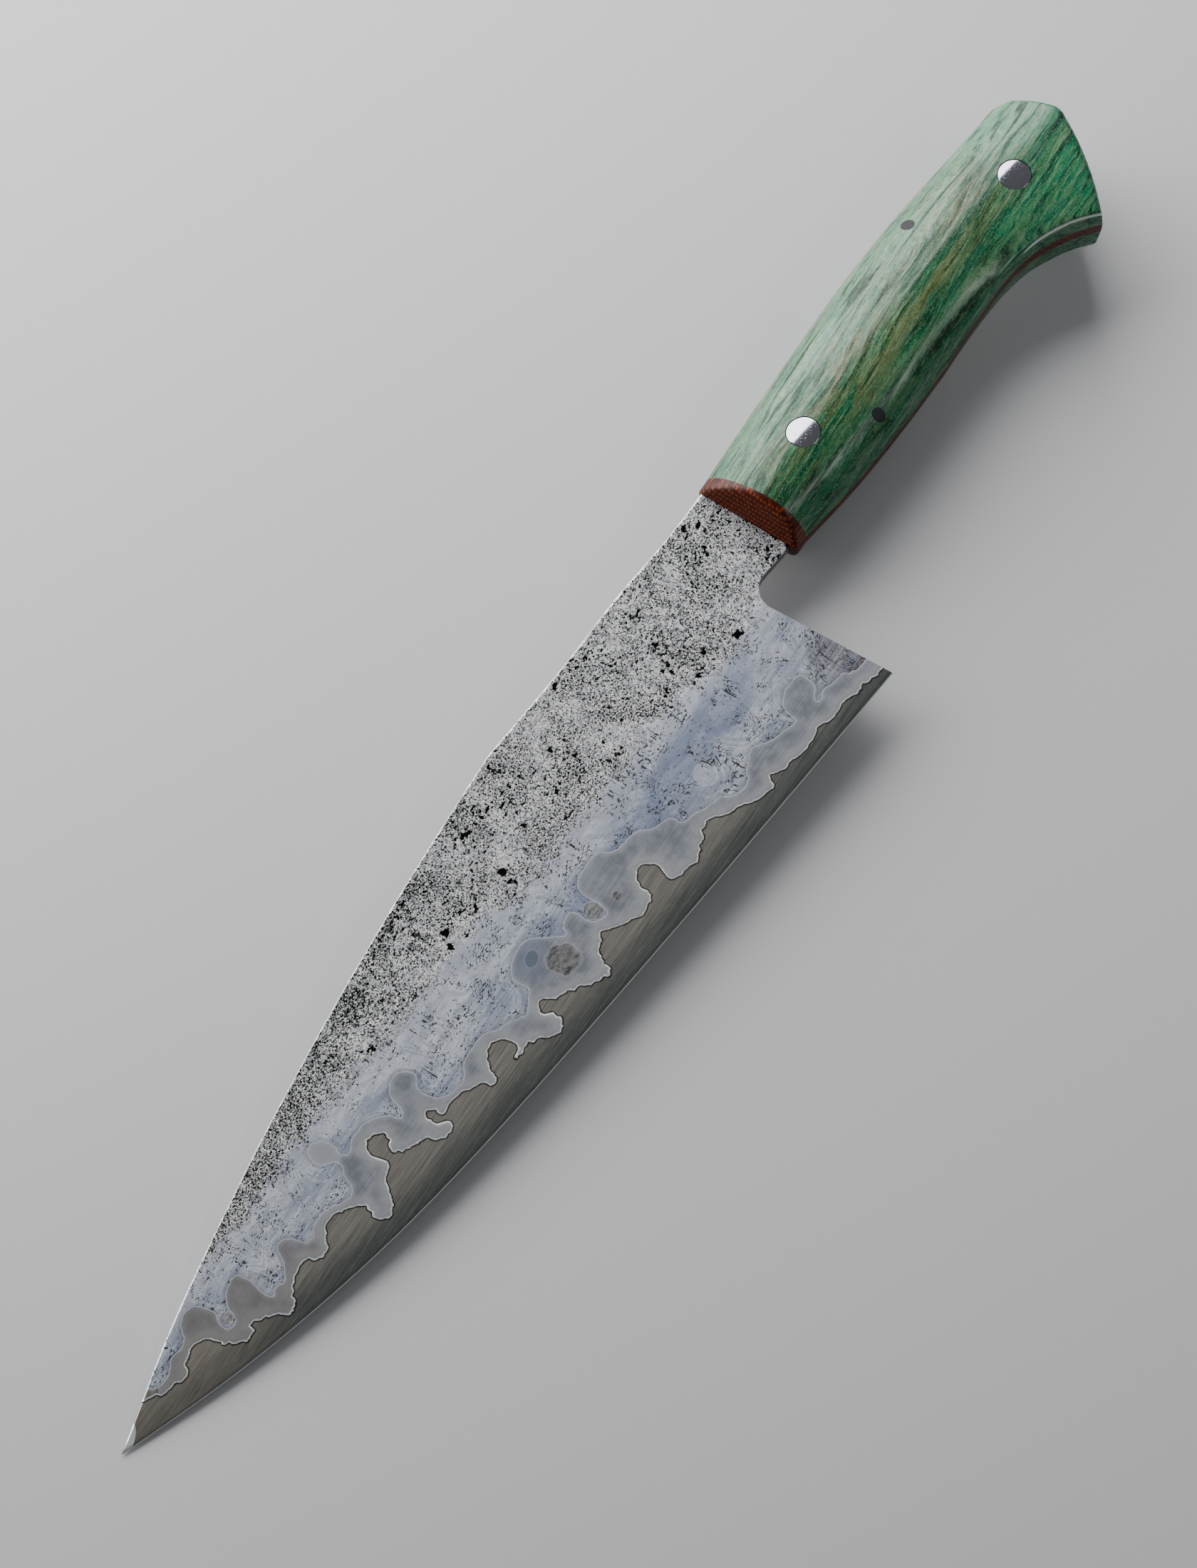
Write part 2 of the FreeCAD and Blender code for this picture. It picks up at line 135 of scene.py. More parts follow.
def smoothstep(value, low, high):
    """0 below low, 1 above high, and a smooth change between them."""
    t = np.clip((value - low) / (high - low), 0, 1)
    return t * t * (3 - 2 * t)


NOISE_TABLE = 256


def value_noise(x, y, seed):
    """Smooth noise from 0 to 1 with features about one unit wide."""
    table = np.random.default_rng(seed).random((NOISE_TABLE, NOISE_TABLE))
    i = np.floor(x).astype(int)
    j = np.floor(y).astype(int)
    u = smoothstep(x - i, 0, 1)
    v = smoothstep(y - j, 0, 1)
    left, right = i % NOISE_TABLE, (i + 1) % NOISE_TABLE
    below, above = j % NOISE_TABLE, (j + 1) % NOISE_TABLE
    low = table[left, below] * (1 - u) + table[right, below] * u
    high = table[left, above] * (1 - u) + table[right, above] * u
    return low * (1 - v) + high * v


LAYER_SCALE = 2.03
LAYER_SHIFT = (17.3, -9.1)


def layered_noise(x, y, seed, layers=3, roughness=0.5):
    """Several sizes of smooth noise added together, from 0 to 1."""
    total = 0
    weight = 1.0
    whole = 0
    for layer in range(layers):
        scale = LAYER_SCALE ** layer
        shift_x, shift_y = LAYER_SHIFT[0] * layer, LAYER_SHIFT[1] * layer
        total = total + weight * value_noise(x * scale + shift_x, y * scale + shift_y, seed + layer)
        whole += weight
        weight *= roughness
    return total / whole


COLUMN_WIDTH = 6.0


def near_pieces(points, line, reach=0.0):
    """Each column of points, with the starts and ends of the line's pieces that come within reach of it."""
    starts, ends = line[:-1], line[1:]
    left = np.minimum(starts[:, 0], ends[:, 0])
    right = np.maximum(starts[:, 0], ends[:, 0])
    columns = np.floor(points[:, 0] / COLUMN_WIDTH).astype(int)
    for column in np.unique(columns):
        low = column * COLUMN_WIDTH
        some = (left <= low + COLUMN_WIDTH + reach) & (right >= low - reach)
        if some.any():
            yield np.nonzero(columns == column)[0], starts[some], ends[some]


def line_distance(points, line, reach):
    """Distance of each point to a polyline, no further than reach."""
    result = np.full(len(points), float(reach))
    for near, starts, ends in near_pieces(points, line, reach):
        run = ends - starts
        offset = points[near][:, None, :] - starts[None]
        share = np.clip((offset * run).sum(2) / np.maximum((run * run).sum(1), 1e-12), 0, 1)
        gap = np.hypot(*(offset - share[..., None] * run).transpose(2, 0, 1))
        result[near] = np.minimum(result[near], gap.min(1))
    return result


def beyond_line(points, line):
    """Whether each point has the polyline below it an odd number of times."""
    result = np.zeros(len(points), bool)
    for near, starts, ends in near_pieces(points, line):
        x, y = points[near].T[:, :, None]
        spans = (starts[:, 0] <= x) != (ends[:, 0] <= x)
        run, climb = (ends - starts).T
        height = starts[:, 1] + (x - starts[:, 0]) * (climb / np.where(run == 0, 1, run))
        result[near] = ((spans & (height < y)).sum(1) % 2).astype(bool)
    return result


def signed_distance(points, line, reach=6.0):
    """Distance to a polyline, positive on the side that beyond_line() calls beyond."""
    return np.where(beyond_line(points, line), 1.0, -1.0) * line_distance(points, line, reach)


def closed_path(line):
    """A polyline that ends where it starts."""
    return np.vstack([line, line[:1]])


# ------------------------------------------------------------------ meshes


def edge_keys(edges, size):
    """One number per edge, whatever its direction."""
    return edges.min(1) * size + edges.max(1)


def rim(triangles):
    """Edges that only one triangle has, in that triangle's direction."""
    edges = np.vstack([triangles[:, [0, 1]], triangles[:, [1, 2]], triangles[:, [2, 0]]])
    keys = edge_keys(edges, triangles.max() + 1)
    _, first, counts = np.unique(keys, return_index=True, return_counts=True)
    return edges[first[counts == 1]]


CUT_MARGIN = 0.04


def split(points, triangles, field):
    """Cuts triangles where a field changes sign. Returns all points, and the triangles on either side."""
    positive = field >= 0
    inside = positive[triangles].sum(1)
    crossing = triangles[(inside == 1) | (inside == 2)]
    lone_sign = positive[crossing].sum(1) == 1
    first = (positive[crossing] == lone_sign[:, None]).argmax(1)
    rows = np.arange(len(crossing))
    a, b, c = (crossing[rows, (first + turn) % 3] for turn in range(3))
    total = len(points)
    crossed = np.vstack([np.column_stack([a, b]), np.column_stack([a, c])])
    edges, number = np.unique(edge_keys(crossed, total), return_inverse=True)
    low, high = edges // total, edges % total
    share = np.clip(field[low] / (field[low] - field[high]), CUT_MARGIN, 1 - CUT_MARGIN)
    cuts = points[low] + (points[high] - points[low]) * share[:, None]
    ab = total + number[:len(a)]
    ac = total + number[len(a):]
    tip = np.column_stack([a, ab, ac])
    rest_one = np.column_stack([ab, b, c])
    rest_two = np.column_stack([ab, c, ac])
    on_side = [triangles[inside == 3], tip[lone_sign], rest_one[~lone_sign], rest_two[~lone_sign]]
    cut_off = [triangles[inside == 0], tip[~lone_sign], rest_one[lone_sign], rest_two[lone_sign]]
    return np.vstack([points, cuts]), np.vstack(on_side), np.vstack(cut_off)


def grid_triangles(columns, rows, closed=False):
    """Triangles of a grid whose points are listed row by row. A closed grid's last column meets its first.

    They face up when the rows follow the columns anticlockwise, and down on rings that grow outwards.
    """
    i, j = np.meshgrid(np.arange(columns if closed else columns - 1), np.arange(rows - 1))
    after = (i + 1) % columns
    a, b = (j * columns + i).ravel(), (j * columns + after).ravel()
    c, d = ((j + 1) * columns + after).ravel(), ((j + 1) * columns + i).ravel()
    turned = ((i + j) % 2).ravel().astype(bool)[:, None]
    one = np.where(turned, np.column_stack([a, b, d]), np.column_stack([a, b, c]))
    two = np.where(turned, np.column_stack([b, c, d]), np.column_stack([a, c, d]))
    return np.vstack([one, two])


class Piece:
    """Collects one closed piece from sheets of a map's points at different heights."""

    def __init__(self, points):
        self.points = points
        self.parts = []
        self.faces = []
        self.origins = []
        self.count = 0

    def sheet(self, ids, heights):
        """Adds map points, at one height or a height each, and returns where each of them went."""
        ids = np.unique(ids)
        where = np.full(len(self.points), -1)
        where[ids] = self.count + np.arange(len(ids))
        heights = np.broadcast_to(heights, len(self.points))
        self.parts.append(np.column_stack([self.points[ids], heights[ids]]))
        self.origins.append(ids)
        self.count += len(ids)
        return where

    def cover(self, where, triangles, turned=False):
        """Adds triangles of the map to a sheet, the way they face there or turned over."""
        faces = where[triangles]
        self.faces.append(faces[:, ::-1] if turned else faces)

    def wall(self, upper, lower, edges):
        """Adds the wall between two sheets below the rim edges of the upper one."""
        a, b = edges[:, 0], edges[:, 1]
        self.faces.append(np.column_stack([upper[a], lower[a], lower[b]]))
        self.faces.append(np.column_stack([upper[a], lower[b], upper[b]]))

    def plate(self, triangles, top, cap, bottom):
        """Adds a closed plate: triangles at the top height over a cap of the same outline, and its wall."""
        upper = self.sheet(triangles, top)
        lower = self.sheet(cap, bottom)
        self.cover(upper, triangles)
        self.cover(lower, cap, turned=True)
        self.wall(upper, lower, rim(triangles))
        return self

    def add(self, other):
        """Takes in another closed piece as a shell. It gets the attributes of the map's first point."""
        self.faces += [faces + self.count for faces in other.faces]
        self.parts += other.parts
        self.origins += [np.zeros(len(part), int) for part in other.parts]
        self.count += other.count

    def show(self, node, slot, material, attributes=None, flip=False, bend=None, axes=(0, 1, 2)):
        """Makes the object that is shown instead of a CAD node, with the material it is given; the slot is
        not used.

        Attributes have a value for every point of the map. bend(coords, ids) moves the vertices that came
        from those points, and flip mirrors the piece in the middle plane.
        """
        coords = np.vstack(self.parts)
        faces = np.vstack(self.faces)
        ids = np.concatenate(self.origins)
        if bend is not None:
            coords = bend(coords, ids)
        if flip:
            coords[:, 2] *= -1
            faces = faces[:, ::-1]
        values = {key: value[ids] for key, value in (attributes or {}).items()}
        made = make_object(node + "_visual", coords[:, axes], faces, material, values)
        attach(made, "root")
        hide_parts(node)


SHARP_ANGLE = 35


def make_object(name, coords, faces, material, attributes):
    """A smooth-shaded mesh object with sharp edges kept, laid out in the knife's frame."""
    mesh = bpy.data.meshes.new(name)
    mesh.from_pydata(place(coords).tolist(), [], np.asarray(faces).tolist())
    mesh.materials.append(material)
    for key, values in attributes.items():
        layer = mesh.attributes.new(key, "FLOAT", "POINT")
        layer.data.foreach_set("value", np.ascontiguousarray(values, dtype=np.float32))
    mesh.shade_smooth()
    mesh.set_sharp_from_angle(angle=math.radians(SHARP_ANGLE))
    made = bpy.data.objects.new(name, mesh)
    bpy.context.scene.collection.objects.link(made)
    return made


# ------------------------------------------------------------------ the blade's form

SPINE_FRONT = [(-258, -7.2), (-250.3, -5.4), (-225, 0.9), (-205, 4.7), (-180, 8.6), (-150, 12.2),
               (-120, 14.8), (-100, 16.0), (-79.5, 16.85)]
SPINE_REAR = [(-79.5, 16.85), (-64, 15.5), (-48, 14.4), (-32, 13.75), (-16, 12.2), (-1, 11.6)]
BEVEL_X = [-262, -250, -240, -225, -205, -180, -150, -115, -75, -35, -10, 4]
EDGE_Y = [-0.3, -5.4, -9.4, -14.9, -21.0, -27.0, -32.0, -36.5, -41.0, -45.1, -47.5, -48.9]
BEVEL_Y = [15.0, 11.0, 8.5, 6.0, 3.4, 2.0, 0.0, -3.5, -8.3, -12.5, -15.5, -16.5]
NECK_X = -1.0
BELOW_BLADE_Y = -60.0
HEEL_X = -13.9
HEEL_LEAN = 0.02
HEEL_WALL_Y = -46.9
PAST_TIP_X = -320
CHOIL = [(-15.75, -17.5), (-14.6, -12.6), (-10.2, -10.75)]
NECK_LOW = [(-1, -11.8), (6, -12.6)]
CORE_SHARE = 0.36
INNER_SHARE = 0.62

# Half thicknesses of the blade, and the heights over the edge where the facet and the thin zone end
THINNEST = 0.02
FACET_HALF = 0.15
THIN_ZONE_HALF = 0.38
FLAT_HALF = 1.6
FLAT_TAPER = 0.004
FACET_TOP = 0.6
THIN_ZONE_TOP = 6.5

spine_front = natural_spline(*zip(*SPINE_FRONT))
spine_rear = natural_spline(*zip(*SPINE_REAR))
edge_y = natural_spline(BEVEL_X, EDGE_Y)
bevel_y = natural_spline(BEVEL_X, BEVEL_Y)


def spine_y(x):
    """Height of the spine."""
    return np.where(x < SPINE_REAR[0][0], spine_front(x), spine_rear(x))


def half_thickness(x, y):
    """Half the blade's thickness: sharpened facet, thin zone, bevel and forged flat."""
    above_edge = y - edge_y(x)
    flat = FLAT_HALF + FLAT_TAPER * x
    facet = THINNEST + (FACET_HALF - THINNEST) * above_edge / FACET_TOP
    thin_rise = THIN_ZONE_TOP - FACET_TOP
    thin = FACET_HALF + (THIN_ZONE_HALF - FACET_HALF) * (above_edge - FACET_TOP) / thin_rise
    bevel_rise = bevel_y(x) - edge_y(x) - THIN_ZONE_TOP
    bevel = THIN_ZONE_HALF + (flat - THIN_ZONE_HALF) * (above_edge - THIN_ZONE_TOP) / bevel_rise
    height = np.where(above_edge < FACET_TOP, facet, np.where(above_edge < THIN_ZONE_TOP, thin, bevel))
    return np.clip(np.minimum(height, flat), THINNEST, None)


# Where the inner layer ends and the core shows, from the spine near the tip to the heel
CORE_LINE = [
    (-239.6, 1.5), (-238.4, -2.2), (-237.5, -3.4), (-236, -4.2), (-235, -5.5), (-232, -6.1), (-230.5, -7),
    (-229.2, -7.2), (-227.5, -5.9), (-225.5, -5), (-222.5, -4.8), (-221, -5.8), (-220, -7.2),
    (-219.5, -9.5), (-218.3, -11.3), (-216.8, -12.7), (-214.6, -13.6), (-212.5, -12.4), (-211, -12.9),
    (-209.5, -14.2), (-208, -15.5), (-207, -17.5), (-205.8, -18.1), (-204.3, -17.7), (-202.8, -16.2),
    (-200.2, -14.6), (-197.5, -13.7), (-195.7, -13.9), (-194, -15.2), (-191.4, -16.6), (-189.8, -15.7),
    (-188.2, -14.3), (-186, -13.2), (-183.5, -13.4), (-181.5, -14.8), (-179.3, -16.7), (-178.6, -18.4),
    (-179.6, -21), (-178.8, -22.8), (-177, -23.3), (-175, -22.3), (-173, -20.2), (-170.2, -17.7),
    (-168.5, -17.2), (-168, -15.5), (-168.6, -13.5), (-168.5, -11.8), (-167, -10.4), (-165, -10.2),
    (-163.5, -11.4), (-163.4, -13), (-164.8, -14.8), (-165.3, -16.4), (-163, -18.2), (-161, -19.5),
    (-159.2, -20.3), (-158.7, -21.5), (-158, -22.8), (-155.8, -23.7), (-153.5, -23.3), (-153.4, -22),
    (-155, -20.8), (-155.4, -18.5), (-154.3, -17), (-153.3, -18), (-153, -20.2), (-150.5, -20.3),
    (-147.5, -20.7), (-145, -22), (-143, -23.2), (-142, -24), (-142.2, -25), (-140.8, -26), (-139.8, -25.2),
    (-139.6, -23.8), (-138, -22.5), (-136.5, -20.7), (-134.7, -20.2), (-132.8, -20.9), (-131.5, -22.3),
    (-131.2, -24), (-131.8, -25.4), (-134.2, -26.3), (-132.5, -26.9), (-130, -26.8), (-128, -28),
    (-126, -29.8), (-124.5, -31), (-122.5, -31), (-121, -29.7), (-120.9, -28), (-122, -26.5), (-122, -24.7),
    (-120.3, -23.7), (-119.2, -24.6), (-118, -26.3), (-116, -27.1), (-113.8, -28.7), (-112, -29.8),
    (-110, -31.2), (-108.5, -32), (-107, -32.9), (-105.7, -32), (-105.3, -30), (-104, -28.3), (-102, -27.3),
    (-100.5, -26.3), (-98.8, -27), (-96.5, -28.8), (-94, -30.2), (-91.5, -31.6), (-89, -31.3),
    (-87.2, -30.9), (-86.7, -28.8), (-86, -26.5), (-84.5, -25.1), (-82.5, -25.1), (-81.2, -26.5),
    (-80.6, -29), (-81.4, -30.5), (-81.7, -32), (-79.7, -33.5), (-77, -34), (-75.3, -34.7), (-72.5, -33.8),
    (-70, -33), (-68.5, -31.8), (-66.5, -31.5), (-64.5, -32.3), (-62.5, -34.3), (-60, -35.3), (-57.5, -37),
    (-55, -38.5), (-52.5, -39.2), (-51.2, -39.5), (-50.3, -38.2), (-49.5, -37.5), (-48, -38),
    (-46.5, -39.2), (-44, -39.4), (-42, -40.2), (-39, -40.7), (-36, -40.6), (-33.5, -40.2), (-31.5, -41.3),
    (-28.5, -41.8), (-25, -41.8), (-22.5, -43), (-19.5, -43.3), (-17, -44.2), (-15, -44.7), (-12, -44.8),
    (10, -45)]

# Where the wrought cladding ends and the inner layer shows, the same way
CLADDING_LINE = [
    (-236.6, 1.5), (-235.7, -1.8), (-235, -3), (-233, -3.8), (-230.5, -3.6), (-228.5, -2.5), (-226.5, -2.4),
    (-225, -2.8), (-223, -2.2), (-221.5, -0.2), (-220, 0.6), (-218.5, 1.0), (-217.3, 0.7), (-216, 0),
    (-215.2, -2), (-214.9, -4.6), (-216.2, -6.6), (-216.2, -8.6), (-214.6, -9.2), (-213.1, -7.6),
    (-212.6, -6), (-211.5, -4.8), (-210, -3.9), (-208, -3.2), (-206, -3.4), (-205.3, -4.8), (-205.3, -8),
    (-205.8, -11), (-205, -12.6), (-203.5, -11.8), (-202, -12.7), (-200, -11.8), (-198.5, -10.6),
    (-197.3, -8.5), (-196, -7), (-194.3, -7.3), (-192.8, -9), (-192.2, -11.5), (-190.8, -12.4),
    (-189, -11.5), (-187, -11), (-184, -11.3), (-181.5, -12.5), (-178.5, -13.9), (-176.8, -13.2),
    (-176, -10.8), (-174.2, -8.8), (-174.1, -7.5), (-175.2, -6.3), (-176.5, -5), (-176.8, -3), (-175.8, -1),
    (-174.5, -0.5), (-172.8, -1), (-171.6, -3), (-171.4, -5), (-172, -7.5), (-171, -8.3), (-169, -7.5),
    (-166.5, -7.1), (-164, -7.3), (-162, -8.3), (-160, -10), (-159, -12), (-158.5, -13.3), (-157, -12.5),
    (-156.5, -10.5), (-155, -8), (-153, -6.9), (-150.5, -7.2), (-149, -9), (-148.6, -10.5), (-150.5, -12),
    (-151.3, -14), (-150.8, -16.5), (-149, -18.5), (-147, -19.3), (-144.5, -19.6), (-143, -19),
    (-141.5, -17.8), (-139, -17.4), (-136, -17.2), (-133.5, -17.6), (-131.5, -19), (-129, -20.3),
    (-126.5, -21.7), (-124.5, -22.8), (-122, -21.7), (-119.5, -20), (-119.8, -17), (-118.5, -15),
    (-115.5, -13.5), (-112, -13.2), (-109.5, -14.5), (-108, -16.5), (-106.5, -18.5), (-104.5, -20),
    (-104, -19), (-102, -18), (-100, -18), (-99.3, -20), (-99.3, -23), (-96, -24.8), (-95.3, -19),
    (-94.5, -16.5), (-92, -15.2), (-88, -15.2), (-85.5, -15.5), (-83.5, -18), (-79, -19.3), (-76, -20.5),
    (-74, -22.5), (-71, -23.7), (-69.5, -25), (-69.3, -27), (-67.5, -27.8), (-65, -28.8), (-62.5, -30),
    (-59.5, -31), (-58, -33), (-55.5, -34), (-53.5, -34), (-51.5, -32.5), (-48.5, -31.3), (-46.2, -30.4),
    (-44.5, -31.5), (-42.5, -33), (-40, -34), (-37, -35), (-35.5, -35.3), (-35.1, -34), (-34.5, -31.5),
    (-32.5, -30), (-30, -29.2), (-28, -29.5), (-26, -30), (-25.5, -32), (-26, -34.5), (-28, -35.5),
    (-29, -36.8), (-28, -37), (-26, -36.3), (-24, -37), (-22, -37.5), (-20, -38), (-18.5, -39.5),
    (-16.5, -40.3), (-14.5, -40.5), (-11, -41), (10, -41.5)]

# Where the polished bevel takes over from the forged skin, from tip to choil
POLISH_LINE = [
    (-262, 8), (-215, 6), (-200, 3), (-180, 2), (-160, 1), (-150, 0), (-130, -2), (-110, -4), (-100, -6.5),
    (-80, -8), (-60, -9.5), (-50, -9.5), (-40, -12), (-20, -15), (-14, -13.5), (6, -13.5)]

# Rings and swirls that the lines flow round in the polished cladding: (x, y, radius, strength)
SWIRLS = [
    (-126, -8, 3.0, 1.6), (-187, -2, 1.7, 1.3), (-98, -10.5, 2.0, 1.2), (-67, -16.5, 2.6, 1.3),
    (-43, -25, 5.0, 2.2), (-30, -31, 6.5, 2.0), (-113.5, -17, 4.0, 2.0), (-76.7, -10.8, 1.2, 0.8),
    (-58.5, -11.5, 1.5, 0.8), (-57, -25.5, 3.6, 1.4), (-200, -3.5, 2.6, 1.2), (-152, -3, 3.4, 1.3),
    (-140, -11, 4.0, 1.6), (-88, -12, 2.4, 1.0), (-165, -4, 2.2, 1.2)]

# Disks of paler metal in it: (x, y, radius)
DISKS = [(-76.7, -10.8, 1.1), (-58.5, -11.5, 1.4), (-57, -25.5, 3.2)]

# Deep black pits in the forged skin: (x, y, half length, half width, turn in degrees)
DEEP_PITS = [
    (-40, -12.3, 2.5, 1.6, 20), (-25.3, -13.7, 1.6, 1.3, -10), (-27.5, -17, 1.1, 0.9, 50),
    (-17, -13, 1.2, 0.8, 30), (-100.5, -0.8, 1.3, 1.0, 0), (-119, 2, 1.1, 1.4, 40),
    (-10.5, 10.0, 1.2, 0.8, 60), (-8, 8, 1.1, 0.7, 10), (-58, 13.5, 1.2, 0.7, 20), (-121, -1, 0.8, 1.2, 0),
    (-33, -9.5, 0.9, 0.6, 15), (-71, 6, 0.8, 0.6, 80), (-90, 10, 0.8, 0.5, 15)]

# Weathered islands of slag in the polished bevel: (x, y, half length, half width)
ROUGH_PATCHES = [
    (-109.5, -22.5, 4.2, 3.6), (-97.0, -22.3, 2.2, 2.4), (-91.2, -24.7, 1.1, 1.1), (-214.6, -7.2, 1.4, 1.4),
    (-236.5, -3.4, 2.2, 1.2)]

# A blued patch of the inner layer and a bright spot near the tip, laid out like the deep pits
BLUE_PATCH = (-113.5, -17, 6.5, 4.5, 20)
TIP_SPOT = (-247.4, -4.6, 4.4, 1.7, 17)

# The middle of a pale round bud in the inner layer
PALE_BUD = (-174.3, -4.2)

PATH_SPACING = 0.15
polish_y = natural_spline(*zip(*POLISH_LINE))
core_path = jagged(smooth_path(CORE_LINE, PATH_SPACING), 1.3, 3)
cladding_path = jagged(smooth_path(CLADDING_LINE, PATH_SPACING), 0.6, 4)


def ellipse_field(points, x, y, along, across, turn=0.0):
    """1 in the middle of an ellipse, 0 on it and negative outside."""
    angle = math.radians(turn)
    u = (points[:, 0] - x) * math.cos(angle) + (points[:, 1] - y) * math.sin(angle)
    v = (points[:, 1] - y) * math.cos(angle) - (points[:, 0] - x) * math.sin(angle)
    return 1 - np.hypot(u / along, v / across)


def largest_ellipse(points, ellipses, ragged=0.0):
    """The largest field of several ellipses with ragged borders, and never below -1."""
    result = np.full(len(points), -1.0)
    for ellipse in ellipses:
        result = np.maximum(result, ellipse_field(points, *ellipse) + ragged)
    return result


# The blade's grid: its columns, and its rows on the forged skin and on the bevel
TIP_COLUMNS = 20
BLADE_COLUMNS = 520
SKIN_ROWS = 96
BEVEL_ROWS = 52
TIP_INSET = 0.05
TIP_ZONE = 4
LEAST_HEIGHT = 0.03
BELOW_SKIN = 2.5
MIDDLE_SHARES = (0.35, 0.8)


def blade_map():
    """A fine grid over the blade's outline, denser near the tip and on the forged skin."""
    tip_x = core_box[0].x / MM - ORIGIN[0] + TIP_INSET
    zone_x = tip_x + TIP_ZONE
    xs = np.concatenate([np.linspace(tip_x, zone_x, TIP_COLUMNS)[:-1],
                         np.linspace(zone_x, NECK_X, BLADE_COLUMNS)])
    top = spine_y(xs)
    low = np.minimum(edge_y(xs), top - LEAST_HEIGHT)
    lowest, highest = (low + (top - low) * share for share in MIDDLE_SHARES)
    middle = np.clip(polish_y(xs) - BELOW_SKIN, lowest, highest)
    share_low = np.linspace(0, 1, BEVEL_ROWS, endpoint=False)[:, None]
    share_high = np.linspace(0, 1, SKIN_ROWS)[:, None]
    rows = np.vstack([low + (middle - low) * share_low, middle + (top - middle) * share_high])
    points = np.column_stack([np.tile(xs, len(rows)), rows.ravel()])
    return points, grid_triangles(len(xs), len(rows))


def triangulate(points, triangles):
    """Coarse triangles over the same region, through its rim points only."""
    edges = rim(triangles)
    ids, local = np.unique(edges, return_inverse=True)
    local = local.reshape(edges.shape)
    flat = [Vector(p) for p in points[ids].tolist()]
    made = delaunay_2d_cdt(flat, local.tolist(), [], 2, 1e-7)
    faces = np.array(made[2])
    origin = np.array([group[0] for group in made[3]])
    corners = points[ids[origin[faces]]]
    turn = np.cross(corners[:, 1] - corners[:, 0], corners[:, 2] - corners[:, 0])
    faces[turn < 0] = faces[turn < 0][:, ::-1]
    return ids[origin[faces]]


SPINE_SLOPE_REACH = 0.5
FLOW_REACH = 4
FLOW_LEVEL_Y = -25


def blade_fields(points):
    """Signed distances and masks on the blade's map."""
    x, y = points.T
    ragged = (layered_noise(x / 7, y / 7, 5) - 0.5) * 4 + (layered_noise(x / 1.7, y / 1.7, 8) - 0.5) * 4
    cladding = signed_distance(points, cladding_path, 14.0)
    near_line = np.exp(-np.maximum(cladding, 0) / FLOW_REACH)
    flow = cladding * near_line + (1 - near_line) * (y - FLOW_LEVEL_Y) * 0.6
    flow += (layered_noise(x / 22, y / 8, 31) - 0.5) * 6
    for swirl_x, swirl_y, radius, strength in SWIRLS:
        away = np.hypot(x - swirl_x, y - swirl_y) / radius
        flow += strength * radius * np.exp(-away ** 2)
    behind, ahead = spine_y(x + SPINE_SLOPE_REACH), spine_y(x - SPINE_SLOPE_REACH)
    steepness = (behind - ahead) / (2 * SPINE_SLOPE_REACH)
    return {
        "core_d": signed_distance(points, core_path),
        "cladding_d": cladding,
        "forged": y - polish_y(x) + ragged,
        "patch": largest_ellipse(points, ROUGH_PATCHES, 0.12 * ragged),
        "flow": flow,
        "disk": largest_ellipse(points, [(x_at, y_at, radius, radius) for x_at, y_at, radius in DISKS]),
        "blue": ellipse_field(points, *BLUE_PATCH),
        "tip": ellipse_field(points, *TIP_SPOT),
        "edge_d": y - edge_y(x),
        "spine_d": (spine_y(x) - y) / np.hypot(1, steepness),
    }


# The skin's relief, in millimetres
WAVE = 0.03
FORGED_WAVE = 0.12
LUMP = 0.006
PIT = 0.03
STEP_UP = 0.035
STEP_DOWN = -0.02
SPINE_CORNER = -0.16
SPINE_CORNER_WIDTH = 0.32


def skin_height(points, fields, seed):
    """The forged skin's relief and the steps at the weld lines, and how pitted each point is."""
    x, y = points.T
    forged = smoothstep(fields["forged"], -0.5, 0.7)
    waves = layered_noise(x / 11, y / 9, seed, 3) - 0.5
    lumps = layered_noise(x / 1.9, y / 1.6, seed + 11, 3) - 0.5
    speckle = smoothstep(layered_noise(x / 1.05, y / 0.85, seed + 21, 3, 0.6), 0.56, 0.72)
    crowd = smoothstep(layered_noise(x / 8, y / 8, seed + 41, 2), 0.25, 0.7)
    pits = speckle * (0.35 + 0.65 * crowd)
    grit = (layered_noise(x / 0.9, y / 0.9, seed + 51) - 0.5) * 1.3
    for pit in DEEP_PITS:
        pits = np.maximum(pits, 1.6 * smoothstep(ellipse_field(points, *pit) + grit, 0, 0.35))
    pits = pits * forged
    height = waves * (WAVE + FORGED_WAVE * forged) + forged * (lumps * LUMP - PIT * pits)
    step = np.where(fields["core_d"] >= 0, STEP_UP * smoothstep(fields["core_d"], 0, 0.5), STEP_DOWN)
    corner = SPINE_CORNER * (1 - smoothstep(fields["spine_d"], 0, SPINE_CORNER_WIDTH))
    fade = smoothstep(fields["edge_d"], 0.4, 3)
    return (height + step) * fade + corner * fade, np.clip(pits, 0, 1)


# The tang's ends: (x, width, half thickness), the rounding of its rear corners, and its grid
TANG_FRONT = (-1.0, 15.0, 1.5)
TANG_REAR = (110.0, 11.0, 1.0)
TANG_CORNER = 3.0
TANG_COLUMNS = 112
TANG_ROWS = 16
HOLE_CLEARANCE = 0.02


def tang_middle(x):
    """Height of the tang's middle line, which runs through both handle bolts."""
    slope = (REAR_BOLT[1] - FRONT_BOLT[1]) / (REAR_BOLT[0] - FRONT_BOLT[0])
    return FRONT_BOLT[1] + slope * (x - FRONT_BOLT[0])


